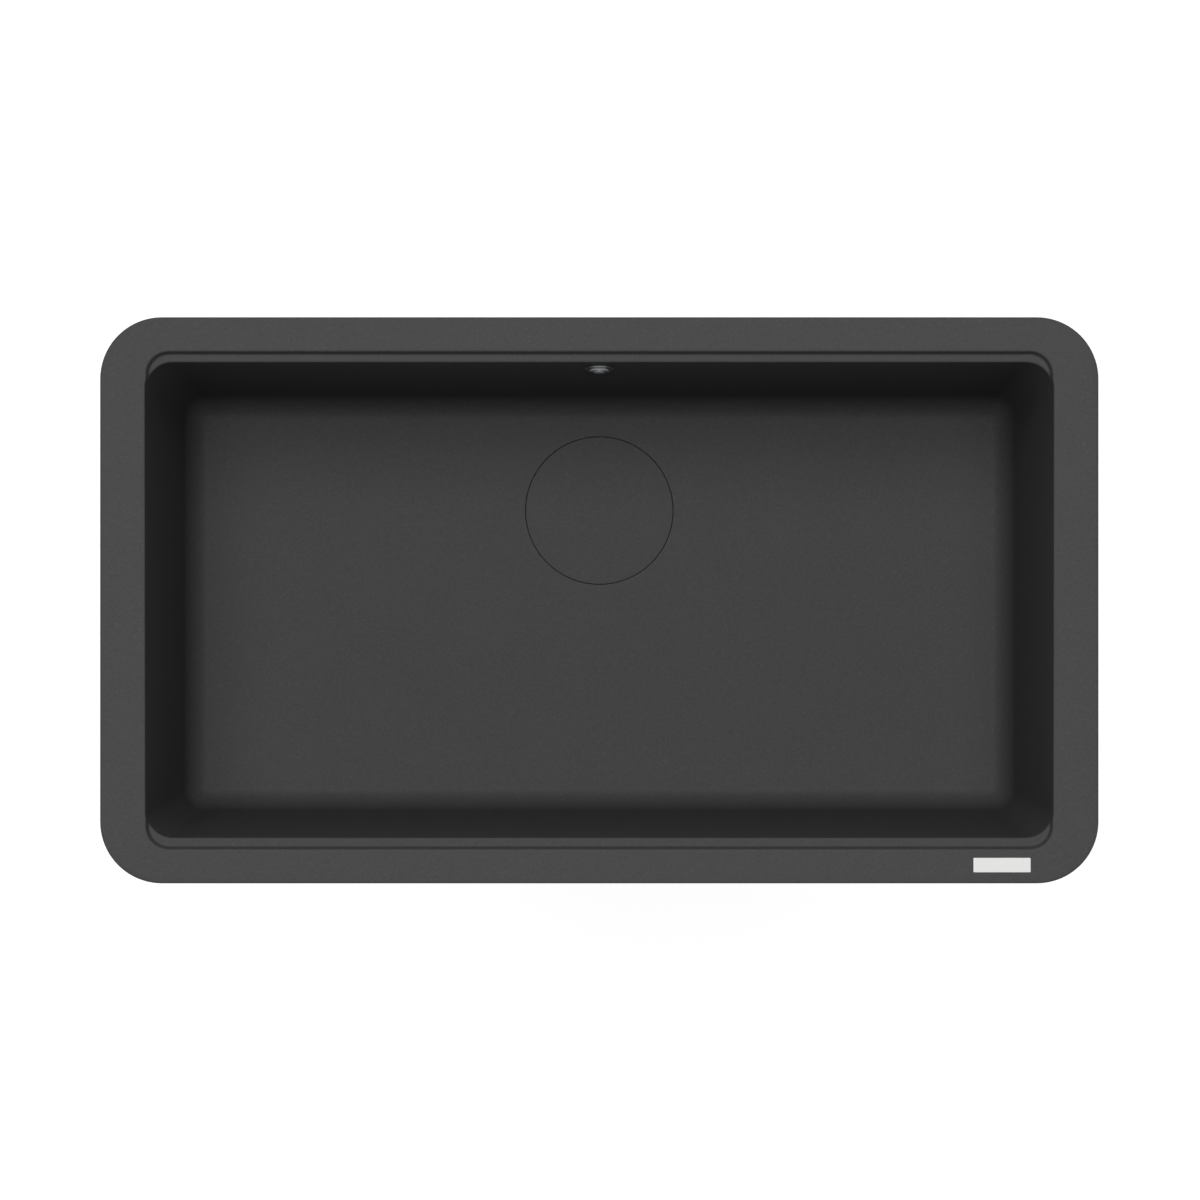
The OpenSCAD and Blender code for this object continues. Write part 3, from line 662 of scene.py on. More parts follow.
@dataclass
class NodeShape:
    """A Geometry Nodes tree with named sizes, which ends in Realize Instances and Set Material."""

    name: str
    finish: Finish
    sizes: dict[str, float] = field(default_factory=dict)

    def __post_init__(self) -> None:
        """Opens the tree with its geometry socket and one named input for each size."""
        self.tree = bpy.data.node_groups.new(self.name, "GeometryNodeTree")
        sockets = self.tree.interface
        self.keys = {}
        shape_in = sockets.new_socket("Geometry", in_out="INPUT", socket_type="NodeSocketGeometry")
        self.keys["Geometry"] = shape_in.identifier
        for size, value in self.sizes.items():
            kind = "NodeSocketInt" if isinstance(value, int) else "NodeSocketFloat"
            self.keys[size] = sockets.new_socket(size, in_out="INPUT", socket_type=kind).identifier
        sockets.new_socket("Geometry", in_out="OUTPUT", socket_type="NodeSocketGeometry")
        self.inputs = self.tree.nodes.new("NodeGroupInput").outputs

    def add(self, kind: str, inputs: dict | None = None, **settings: object) -> bpy.types.NodeOutputs:
        """Adds a node and returns its outputs."""
        return add_node(self.tree, kind, inputs, **settings).outputs

    def maths(self, operation: str, *values: object) -> Socket:
        """One Math node on up to three values."""
        return self.add("ShaderNodeMath", dict(enumerate(values)), operation=operation)[0]

    def made(self, shape: Socket, start: bpy.types.Object, name: str) -> bpy.types.Object:
        """Closes the tree, runs it on an object and keeps the result.

        Args:
            shape: The geometry to keep.
            start: The object that the tree starts from, which is used up.
            name: The new object's name.

        Returns:
            A plain mesh object.
        """
        real = self.add("GeometryNodeRealizeInstances", {"Geometry": shape})["Geometry"]
        done = self.add("GeometryNodeSetMaterial", {"Geometry": real, "Material": self.finish.material()})
        self.tree.links.new(done["Geometry"], self.tree.nodes.new("NodeGroupOutput").inputs["Geometry"])
        modifier = start.modifiers.new(self.name, "NODES")
        modifier.node_group = self.tree
        for size, value in self.sizes.items():
            modifier[self.keys[size]] = value
        return evaluated(start, name)


def in_metres(place: Matrix) -> Matrix:
    """Turns a placement for points in millimetres into the same placement for points in metres."""
    return Matrix.Translation(place.translation * MM) @ place.to_3x3().to_4x4()


def copies_round(
    name: str, element: bpy.types.Object, count: int, finish: Finish, place: Matrix, offset: float = 0.0
) -> bpy.types.Object:
    """Repeats a shape round the Z axis, each copy turned with its place.

    Args:
        name: The object's name.
        element: The shape as it stands at angle 0, which is used up.
        count: How many copies.
        finish: The finish.
        place: Where the whole set goes.
        offset: Angle of the first copy in degrees.

    Returns:
        The object.
    """
    kit = NodeShape(f"{name}_round", finish, {"Count": count, "First angle": math.radians(offset)})
    spots = kit.add("GeometryNodePoints", {"Count": kit.inputs["Count"]})["Points"]
    share = kit.maths("DIVIDE", kit.add("GeometryNodeInputIndex")["Index"], kit.inputs["Count"])
    turn = kit.maths("MULTIPLY_ADD", share, math.tau, kit.inputs["First angle"])
    spin = kit.add("ShaderNodeCombineXYZ", {"Z": turn})["Vector"]
    rotation = kit.add("FunctionNodeEulerToRotation", {"Euler": spin})["Rotation"]
    copies = kit.add(
        "GeometryNodeInstanceOnPoints",
        {"Points": spots, "Instance": kit.inputs["Geometry"], "Rotation": rotation},
    )["Instances"]
    result = kit.made(copies, element, name)
    result.data.transform(in_metres(place))
    tidy_mesh(result.data)
    return result


def copies_at(name: str, element: bpy.types.Object, spots: Sequence[Vector], finish: Finish) -> bpy.types.Object:
    """Repeats a shape at given places.

    Args:
        name: The object's name.
        element: The shape as it stands at the origin, which is used up.
        spots: The places, in millimetres.
        finish: The finish.

    Returns:
        The object.
    """
    kit = NodeShape(f"{name}_places", finish, {"Count": len(spots)})
    points = kit.add("GeometryNodePoints", {"Count": kit.inputs["Count"]})["Points"]
    chooser = kit.tree.nodes.new("GeometryNodeIndexSwitch")
    chooser.data_type = "VECTOR"
    while len(chooser.index_switch_items) < len(spots):
        chooser.index_switch_items.new()
    kit.tree.links.new(kit.add("GeometryNodeInputIndex")["Index"], chooser.inputs["Index"])
    for number, spot in enumerate(spots):
        chooser.inputs[number + 1].default_value = spot * MM
    moved = kit.add("GeometryNodeSetPosition", {"Geometry": points, "Position": chooser.outputs[0]})["Geometry"]
    copies = kit.add("GeometryNodeInstanceOnPoints", {"Points": moved, "Instance": kit.inputs["Geometry"]})
    return kit.made(copies["Instances"], element, name)


def screw_thread(
    name: str, radius: float, pitch: float, length: float, depth: float, finish: Finish, place: Matrix, sides: int = 32
) -> bpy.types.Object:
    """Winds one thread ridge up the Z axis from z = 0.

    Args:
        name: The object's name.
        radius: Radius of the crest.
        pitch: Rise for each turn.
        length: Length of the threaded part.
        depth: Height of the ridge.
        finish: The finish.
        place: Where the thread goes.
        sides: Segments for each turn.

    Returns:
        The object, a closed ridge that sinks a little into its core.
    """
    turns = (length - pitch) / pitch
    kit = NodeShape(
        f"{name}_helix",
        finish,
        {
            "Turns": turns,
            "Radius": (radius - depth * 0.6) * MM,
            "Rise": (length - pitch) * MM,
            "Ridge": depth * 1.05 * MM,
        },
    )
    helix = kit.add(
        "GeometryNodeCurveSpiral",
        {
            "Resolution": sides,
            "Rotations": kit.inputs["Turns"],
            "Start Radius": kit.inputs["Radius"],
            "End Radius": kit.inputs["Radius"],
            "Height": kit.inputs["Rise"],
        },
    )["Curve"]
    upright = kit.add("GeometryNodeSetCurveNormal", {"Curve": helix}, mode="Z_UP")["Curve"]
    ridge = kit.add("GeometryNodeCurvePrimitiveCircle", {"Resolution": 4, "Radius": kit.inputs["Ridge"]})["Curve"]
    swept = kit.add(
        "GeometryNodeCurveToMesh", {"Curve": upright, "Profile Curve": ridge, "Fill Caps": True}
    )["Mesh"]
    lifted = kit.add(
        "GeometryNodeTransform", {"Geometry": swept, "Translation": (0, 0, pitch * MM / 2)}
    )["Geometry"]
    start = bpy.data.objects.new(f"{name}_start", bpy.data.meshes.new(f"{name}_start"))
    bpy.context.collection.objects.link(start)
    result = kit.made(lifted, start, name)
    result.data.transform(in_metres(place))
    return result


# The basin


@dataclass
class PlanLines:
    """How many lines run across each corner and side of the basin, in plan."""

    corner: int = 20
    long_side: int = 80
    short_side: int = 44

    def loop(self, half_x: float, half_y: float, r: float) -> np.ndarray:
        """A rectangle with round corners, one point for each line.

        Args:
            half_x: Half its length.
            half_y: Half its width.
            r: Radius of its corners.

        Returns:
            Points in plan, anticlockwise from the right-hand side.
        """
        mid_x, mid_y = half_x - r, half_y - r
        turns = np.radians(np.linspace(0, 90, self.corner + 1))
        points: list[np.ndarray] = []
        corners = [(mid_x, mid_y), (-mid_x, mid_y), (-mid_x, -mid_y), (mid_x, -mid_y)]
        for number, (cx, cy) in enumerate(corners):
            angles = turns + number * math.pi / 2
            bend = np.stack([cx + r * np.cos(angles), cy + r * np.sin(angles)], axis=1)
            nx, ny = corners[(number + 1) % 4]
            angle = (number + 1) * math.pi / 2
            after = np.array([nx + r * math.cos(angle), ny + r * math.sin(angle)])
            count = self.long_side if number % 2 == 0 else self.short_side
            shares = np.linspace(0, 1, count + 1)[1:-1, None]
            points += [bend, bend[-1] + (after - bend[-1]) * shares]
        return np.concatenate(points)


@dataclass
class BowlForm:
    """The bowl as a stack of round-cornered sections in a frame that leans back with the floor.

    Attributes:
        half_x: Half the length at the top.
        half_y: Half the width at the top.
        height: From the floor to the top, square to the floor.
        corner: Radius of the corners at the top.
        foot_corner: The same where the round at the foot begins.
        round_in: How far that round stands in from the wall.
        round_up: How far it reaches up the wall.
        floor_corner: Radius of the flat floor's corners.
        top_z: World Z of the top, in the middle.
        draft: Lean of the walls in degrees.
        fall: Fall of the floor towards the back in degrees.
    """

    half_x: float
    half_y: float
    height: float
    corner: float
    foot_corner: float
    round_in: float
    round_up: float
    floor_corner: float = 3.0
    top_z: float = 4.0
    draft: float = 6.0
    fall: float = 0.7

    def tilted(self, y: np.ndarray, z: np.ndarray) -> tuple[np.ndarray, np.ndarray]:
        """Moves points into the bowl's frame.

        Args:
            y: World Y.
            z: World Z.

        Returns:
            Y along the floor, and the height above the floor.
        """
        a = math.radians(self.fall)
        rise = z - self.top_z
        return y * math.cos(a) - rise * math.sin(a), y * math.sin(a) + rise * math.cos(a) + self.height

    def level(self, y: np.ndarray, height: float) -> np.ndarray:
        """World Z of the plane at a height above the floor, over a given Y."""
        a = math.radians(self.fall)
        return self.top_z + (height - self.height - y * math.sin(a)) / math.cos(a)

    def round_inset(self, height: np.ndarray) -> np.ndarray:
        """How far the round at the foot of the wall stands in, at a height above the floor."""
        share = np.clip(1 - height / self.round_up, 0, 1)
        return self.round_in * (1 - np.sqrt(1 - share**2))

    def outside(self, points: np.ndarray) -> np.ndarray:
        """How far points are outside the form, in plan.

        Args:
            points: World points.

        Returns:
            A distance for each point, negative inside.
        """
        y, height = self.tilted(points[..., 1], points[..., 2])
        inset = self.round_inset(height)
        lean = (self.height - height) * math.tan(math.radians(self.draft))
        down = np.clip((self.height - height) / (self.height - self.round_up), 0, 1)
        r = self.corner - down * (self.corner - self.foot_corner)
        r = r - inset / self.round_in * (r - self.floor_corner)
        qx = np.abs(points[..., 0]) - (self.half_x - lean - inset - r)
        qy = np.abs(y) - (self.half_y - lean - inset - r)
        flat = np.hypot(np.maximum(qx, 0), np.maximum(qy, 0)) + np.minimum(np.maximum(qx, qy), 0) - r
        return np.where(height < 0, np.maximum(flat, -height), flat)

    def floor_half(self) -> tuple[float, float]:
        """Half the length and half the width of the flat floor."""
        inset = self.height * math.tan(math.radians(self.draft)) + self.round_in
        return self.half_x - inset, self.half_y - inset


@dataclass
class Basin:
    """The one moulding: rim, board recess, bowl, seat of the waste and what stands under the rim.

    Attributes:
        step_in: How far the recess's wall leans in from the rim down to the ledge.
        hollow: The bowl's inside.
        shell: The bowl's outside.
        edge_soft: Width of the smoothing that rounds the upper edges.
        rim_strip: How far the smoothed zone reaches onto the flat rim.
        round_end: Angle at which flat strips take over from the round at the wall's foot.
        rim_line: Half length, half width and corner of the loop where lines across the inside start.
        shell_line: The same for lines across the outside.
    """

    rim_x: float = 380.0
    rim_y: float = 215.5
    rim_t: float = 10.0
    rim_corner: float = 47.0
    rim_edge: float = 1.5
    ledge_z: float = 4.0
    recess_x: float = 345.25
    recess_y: float = 189.5
    recess_r: float = 17.5
    step_in: float = 1.95
    hollow: BowlForm = field(default_factory=lambda: BowlForm(345.119, 181.1, 193.118, 20.0, 17.0, 15.2, 24.0))
    shell: BowlForm = field(default_factory=lambda: BowlForm(354.169, 190.150, 202.118, 29.0, 27.0, 26.1, 26.0))
    shell_x: float = 353.749
    shell_y: float = 189.729
    collar_w: float = 4.0
    collar_h: float = 8.0
    edge_soft: float = 0.9
    rim_strip: float = 3.2
    round_end: float = 78.0
    waste_y: float = 71.0
    cover_hole_r: float = 58.6
    seat_z: float = -204.2
    hole_r: float = 45.0
    well_r: float = 67.9
    well_z: float = -213.2
    boss_r: float = 7.0
    boss_h: float = 14.0
    insert_r: float = 4.0
    insert_h: float = 12.0
    overflow_hole_r: float = 8.5
    collar_corner: float = 33.0
    cover_hole_soft: float = 0.35
    wall_foot: float = -3.0
    rim_line: tuple[float, float, float] = (352.0, 196.0, 30.0)
    shell_line: tuple[float, float, float] = (362.0, 198.0, 38.0)
    lines: PlanLines = field(default_factory=PlanLines)

    def from_recess(self, points: np.ndarray) -> np.ndarray:
        """How far points are outside the board recess in plan, at their own height."""
        grow = self.step_in * (points[..., 2] - self.rim_t) / (self.rim_t - self.ledge_z)
        r = self.recess_r + grow
        qx = np.abs(points[..., 0]) - (self.recess_x + grow - r)
        qy = np.abs(points[..., 1]) - (self.recess_y + grow - r)
        outside = np.hypot(np.maximum(qx, 0), np.maximum(qy, 0))
        return outside + np.minimum(np.maximum(qx, qy), 0) - r

    @staticmethod
    def crossing(
        test: Callable[[np.ndarray], np.ndarray], low: np.ndarray, high: np.ndarray, halvings: int = 34
    ) -> np.ndarray:
        """Finds by halving where a test turns from positive to negative.

        Args:
            test: Gives a sign for each parameter.
            low: Where it is positive.
            high: Where it is negative.
            halvings: How often the span is halved.

        Returns:
            The parameter of each crossing.
        """
        low, high = low.copy(), high.copy()
        for _ in range(halvings):
            mid = (low + high) / 2
            out = test(mid) > 0
            low, high = np.where(out, mid, low), np.where(out, high, mid)
        return (low + high) / 2

    def along(self, outer: np.ndarray, inner: np.ndarray, t: np.ndarray, z: np.ndarray) -> np.ndarray:
        """World points at a share of each line's way in, at a height."""
        flat = outer + (inner - outer) * t[:, None]
        return np.concatenate([flat, np.broadcast_to(z, t.shape)[:, None]], axis=1)

    def wall_row(self, outer: np.ndarray, inner: np.ndarray, form: BowlForm, height: Callable) -> np.ndarray:
        """The wall's outline on a surface of heights.

        Args:
            outer: Outer ends of the lines.
            inner: Inner ends of the lines.
            form: The bowl's form, inside or outside.
            height: Gives Z for an array of Y.

        Returns:
            A row of world points.
        """

        def test(t: np.ndarray) -> np.ndarray:
            y = outer[:, 1] + (inner[:, 1] - outer[:, 1]) * t
            return form.outside(self.along(outer, inner, t, height(y)))

        t = self.crossing(test, np.zeros(len(outer)), np.ones(len(outer)))
        y = outer[:, 1] + (inner[:, 1] - outer[:, 1]) * t
        return self.along(outer, inner, t, height(y))

    def lower_rows(
        self, outer: np.ndarray, inner: np.ndarray, form: BowlForm, top: Callable, walls: int
    ) -> list[np.ndarray]:
        """The plain wall, the round at its foot and the last flat strip of the floor.

        Args:
            outer: Outer ends of the lines.
            inner: Inner ends of the lines, on the flat floor.
            form: The bowl's form, inside or outside.
            top: Gives Z of the first row for an array of Y.
            walls: Rows down the plain wall.

        Returns:
            Rows of world points, without the first.
        """
        up = form.round_up
        rows = [
            self.wall_row(outer, inner, form, lambda y, s=s: (1 - s) * top(y) + s * form.level(y, up))
            for s in np.linspace(0, 1, walls + 1)[1:]
        ]
        for turn in np.radians(np.linspace(0, self.round_end, 12)[1:]):
            height = up * (1 - math.sin(turn))
            rows.append(self.wall_row(outer, inner, form, lambda y, h=height: form.level(y, h)))
        last = rows[-1]
        for share in (0.25, 0.5, 0.75, 1.0):
            flat = last[:, :2] + (inner - last[:, :2]) * share

            def test(z: np.ndarray, flat: np.ndarray = flat) -> np.ndarray:
                return form.outside(np.concatenate([flat, z[:, None]], axis=1))

            z = self.crossing(test, form.level(flat[:, 1], -1.0), last[:, 2] + 0.2)
            rows.append(np.concatenate([flat, z[:, None]], axis=1))
        return rows

    def top_rows(self, outer: np.ndarray, inner: np.ndarray, count: int = 46) -> list[np.ndarray]:
        """The rim's inner edge, the step, the ledge and the top of the wall, with soft edges.

        Args:
            outer: Outer ends of the lines, on the rim.
            inner: Inner ends of the lines.
            count: Rows across this zone.

        Returns:
            Rows of world points.
        """
        size = np.linalg.norm(inner - outer, axis=1)
        n = len(outer)

        def outline(z: float, with_recess: bool) -> np.ndarray:
            def test(t: np.ndarray) -> np.ndarray:
                points = self.along(outer, inner, t, np.array(z))
                far = self.hollow.outside(points)
                return np.minimum(far, self.from_recess(points)) if with_recess else far

            return self.crossing(test, np.zeros(n), np.ones(n)) * size

        step_levels = np.linspace(self.rim_t, self.ledge_z, 13)
        wall_levels = np.linspace(self.ledge_z, self.wall_foot, 13)
        runs = [outline(z, True) for z in step_levels] + [outline(z, False) for z in wall_levels]
        heights = np.concatenate([step_levels, wall_levels])
        across = np.stack([runs[0] - self.rim_strip] + runs, axis=1)
        down = np.broadcast_to(np.concatenate([[self.rim_t], heights]), across.shape)
        rows = np.zeros((count, n, 3))
        for i in range(n):
            way = np.concatenate([[0], np.cumsum(np.hypot(np.diff(across[i]), np.diff(down[i])))])
            even = np.linspace(0, way[-1], count)
            profile = np.stack([np.interp(even, way, across[i]), np.interp(even, way, down[i])], axis=1)
            # The profile goes on straight past both ends, so that the smoothing leaves them in place
            pad = 12
            before = 2 * profile[0] - profile[pad:0:-1]
            after = 2 * profile[-1] - profile[-2 : -pad - 2 : -1]
            longer = np.concatenate([before, profile, after])
            gap = even[1] - even[0]
            reach = np.arange(-pad, pad + 1) * gap
            weight = np.exp(-(reach**2) / (2 * self.edge_soft**2))
            weight /= weight.sum()
            soft = np.stack([np.convolve(longer[:, k], weight, mode="valid") for k in (0, 1)], axis=1)
            t = soft[:, 0] / size[i]
            rows[:, i, :2] = outer[i] + (inner[i] - outer[i]) * t[:, None]
            rows[:, i, 2] = soft[:, 1]
        return list(rows)

    def flat_loop(self, half_x: float, half_y: float, r: float, z: float) -> np.ndarray:
        """A level loop with one point for each line."""
        loop = self.lines.loop(half_x, half_y, r)
        return np.concatenate([loop, np.full((len(loop), 1), z)], axis=1)

    def waste_circle(self, r: float, z: float | Callable, steps: int = 96) -> np.ndarray:
        """A circle round the waste's axis, at a height or on a surface of heights."""
        turns = np.linspace(0, 2 * math.pi, steps, endpoint=False)
        x, y = r * np.cos(turns), self.waste_y + r * np.sin(turns)
        return np.stack([x, y, z(y) if callable(z) else np.full(steps, z)], axis=1)

    def inside(self, shape: Surface, outer: np.ndarray, inner: np.ndarray) -> tuple[np.ndarray, np.ndarray]:
        """Builds everything that is seen from above, inside the rim.

        Args:
            shape: The surface to add to.
            outer: Outer ends of the lines, on the rim.
            inner: Inner ends of the lines, on the floor.

        Returns:
            The numbers of the first row on the rim, and of the last circle under the waste hole.
        """
        rows = self.top_rows(outer, inner)
        rows += self.lower_rows(outer, inner, self.hollow, lambda y: np.full_like(y, self.wall_foot), 8)
        numbers = shape.skin(rows)

        def floor(y: np.ndarray) -> np.ndarray:
            return self.hollow.level(y, 0.0)

        circles = [self.waste_circle(self.cover_hole_r + extra, floor) for extra in (6.0, 2.0)]
        soft = self.cover_hole_soft
        for turn in np.radians(np.linspace(0, 90, 5)):
            circles.append(
                self.waste_circle(
                    self.cover_hole_r + soft - soft * math.sin(turn),
                    lambda y, d=soft * (1 - math.cos(turn)): floor(y) - d,
                )
            )
        circles += [
            self.waste_circle(self.cover_hole_r, self.seat_z + 0.6),
            self.waste_circle(self.cover_hole_r - 0.6, self.seat_z),
            self.waste_circle(self.hole_r + 0.5, self.seat_z),
            self.waste_circle(self.hole_r, self.seat_z - 0.5),
            self.waste_circle(self.hole_r, self.well_z + 0.5),
            self.waste_circle(self.hole_r + 0.5, self.well_z),
            self.waste_circle(self.well_r - 3.0, self.well_z),
            self.waste_circle(self.well_r, self.well_z + 3.0),
        ]
        rings = shape.skin(circles)
        shape.fill(numbers[-1], rings[0])
        return numbers[0], rings[-1]

    def outside(self, shape: Surface, first: np.ndarray, last: np.ndarray, inner: np.ndarray) -> None:
        """Builds the rim's outer edge, its underside, the collar and the bowl's outer wall.

        Args:
            shape: The surface to add to.
            first: Numbers of the inside's first row, on the rim.
            last: Numbers of the last circle, at the foot of the well.
            inner: Inner ends of the lines, on the floor.
        """
        top, e, c = self.rim_t, self.rim_edge, self.rim_corner
        rows = []
        for back, z in [(e + 3, top)] + [
            (e - e * math.sin(t), top - e + e * math.cos(t)) for t in np.radians(np.linspace(0, 90, 6))
        ] + [(0, 0.5), (0.15, 0.15), (0.5, 0), (2.0, 0), (2.0, 1.0), (8.0, 1.0), (8.0, 0)]:
            rows.append(self.flat_loop(self.rim_x - back, self.rim_y - back, c - back, z))
        cx, cy, cr = self.shell_x + self.collar_w, self.shell_y + self.collar_w, self.collar_corner
        for back, z in ((0, 0), (0, 0.6 - self.collar_h), (0.6, -self.collar_h)):
            rows.append(self.flat_loop(cx - back, cy - back, cr - back, z))
        outer = self.lines.loop(*self.shell_line)
        rows.append(self.wall_row(outer, inner, self.shell, lambda y: np.full_like(y, -self.collar_h)))
        rows += self.lower_rows(outer, inner, self.shell, lambda y: np.full_like(y, -self.collar_h), 7)
        numbers = shape.skin(rows)
        shape.band(first, numbers[0])

        def under(y: np.ndarray) -> np.ndarray:
            return self.shell.level(y, 0.0)

        well = shape.skin([self.waste_circle(self.well_r, under), self.waste_circle(self.well_r + 0.6, under)])
        shape.band(last, well[0])
        shape.fill(numbers[-1], well[1])

    def bosses(self) -> bpy.types.Object:
        """The eight round bosses under the rim that hold the claws' inserts."""
        r, h, e = self.boss_r, self.boss_h, 0.5
        element = revolved(
            "claw_bosses",
            [
                (0, 1.0), (r, 1.0), (r, e - h), (r - e, -h), (self.insert_r, -h),
                (self.insert_r, self.insert_h - h), (0, self.insert_h - h),
            ],
            Matrix(),
            48,
        )
        return copies_at("claw_bosses", element, [Vector((x, y, 0)) for x, y, _ in CLAW_PLACES.values()], STONE)

    def build(self) -> None:
        """Builds the moulding, drills the overflow's hole and dresses it."""
        shape = Surface()
        outer = self.lines.loop(*self.rim_line)
        floor_x, floor_y = self.hollow.floor_half()
        inner = self.lines.loop(floor_x - 3.0, floor_y - 3.0, 6.0)
        first, last = self.inside(shape, outer, inner)
        floor_x, floor_y = self.shell.floor_half()
        self.outside(shape, first, last, self.lines.loop(floor_x + 1.4, floor_y + 1.4, 6.0))
        body = shape.mesh("basin_shell")
        drill = revolved(
            "drill", [(0, -20), (self.overflow_hole_r, -20), (self.overflow_hole_r, 30), (0, 30)], OVERFLOW, 64
        )
        piece = joined("basin_moulding", [carved(body, [drill], "basin_shell"), self.bosses()])
        dress(piece, STONE, Body.ROOT.value, ["basin"], sharp=30.0)


# Places

WASTE = Matrix.Translation((0, 71.0, 0))
# Frame of the back wall's inner face at the overflow: Y runs out through the wall and Z up along it
BACK_WALL = Matrix.Translation((0, 178.271, -22.180)) @ Matrix.Rotation(math.radians(-6.7), 4, "X")
# The same place, with Z out through the wall
OVERFLOW = BACK_WALL @ Matrix.Rotation(-math.pi / 2, 4, "X")
# Each claw's place, and the way it points when it clamps, in degrees
CLAW_PLACES = {
    "claw_front_left": (-240.0, -197.929, 270),
    "claw_front_middle": (0.0, -197.929, 270),
    "claw_front_right": (240.0, -197.929, 270),
    "claw_back_left": (-240.0, 197.929, 90),
    "claw_back_middle": (-80.0, 197.929, 90),
    "claw_back_right": (240.0, 197.929, 90),
    "claw_left": (-361.949, 0.0, 180),
    "claw_right": (361.949, 0.0, 0),
}


# Carried-over parts


@dataclass
class CarriedPart:
    """A CAD node whose own shape is right: its edges are broken and its faces smoothed."""

    node: str
    finish: Finish
    edge: float = 0.3
    body: str = Body.ROOT.value
    sharp: float = 30.0
    flat_within: float = 0.4
    break_past: float = 38.0

    def copy(self) -> bpy.types.Object:
        """Copies the node's mesh, merges it and breaks its edges.

        Returns:
            The new object, named after the node.
        """
        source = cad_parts[self.node]
        data = source.data.copy()
        data.transform(source.matrix_world)
        work = bmesh.new()
        work.from_mesh(data)
        bmesh.ops.remove_doubles(work, verts=work.verts, dist=0.002 * MM)
        limit = math.radians(self.flat_within)
        bmesh.ops.dissolve_limit(work, angle_limit=limit, verts=work.verts, edges=work.edges)
        work.to_mesh(data)
        work.free()
        made = bpy.data.objects.new(f"{self.node}_part", data)
        bpy.context.collection.objects.link(made)
        if self.edge > 0:
            broken = made.modifiers.new("broken_edges", "BEVEL")
            broken.width = self.edge * MM
            broken.segments = 2
            broken.limit_method = "ANGLE"
            broken.angle_limit = math.radians(self.break_past)
            broken.use_clamp_overlap = True
            made = evaluated(made, f"{self.node}_part")
        return made

    def build(self, extras: Sequence[bpy.types.Object] = ()) -> None:
        """Dresses the copy, with any extra detail joined to it."""
        made = self.copy()
        if extras:
            made = joined(f"{self.node}_part", [made, *extras])
        dress(made, self.finish, self.body, [self.node], sharp=self.sharp)


# Label and cover


@dataclass
class RimLabel:
    """The blank white label on the rim."""

    half_x: float = 21.75
    half_y: float = 5.5
    thickness: float = 0.3
    corner: float = 0.6
    middle: tuple[float, float, float] = (306.5, -201.5, 10.0)

    def build(self) -> None:
        """Builds a thin film with a softened edge."""
        lines = PlanLines(6, 12, 4)
        shape = Surface()
        rows = []
        for back, z in ((0.05, 0.0), (0.0, 0.05), (0.0, self.thickness - 0.1), (0.1, self.thickness)):
            loop = lines.loop(self.half_x - back, self.half_y - back, self.corner)
            rows.append(np.concatenate([loop, np.full((len(loop), 1), z)], axis=1))
        shape.solid(rows)
        piece = shape.mesh("blank_label", Matrix.Translation(self.middle))
        dress(piece, LABEL_FILM, Body.ROOT.value, ["rim_label"])


@dataclass
class WasteCover:
    """The loose round plate over the waste, in the basin's own material."""

    r: float = 58.2
    top: float = -190.0
    bottom: float = -196.0
    edge: float = 0.35

    def build(self) -> None:
        """Turns the plate, with a soft upper edge and a small one below."""
        profile = [(0.0, self.top), (self.r * 0.5, self.top), (self.r - 4.0, self.top)]
        profile += arc(self.r - self.edge, self.top - self.edge, self.edge, 90, 0, 6)
        profile += [(self.r, self.bottom + 0.5), (self.r - 0.5, self.bottom)]
        profile += [(self.r * 0.6, self.bottom), (0.0, self.bottom)]
        piece = revolved("cover_plate", profile, WASTE, 128)
        dress(piece, STONE, Body.COVER.value, ["waste_cover"])
        CarriedPart("cover_feet", RUBBER, 0.4, Body.COVER.value).build()


# Waste and basket


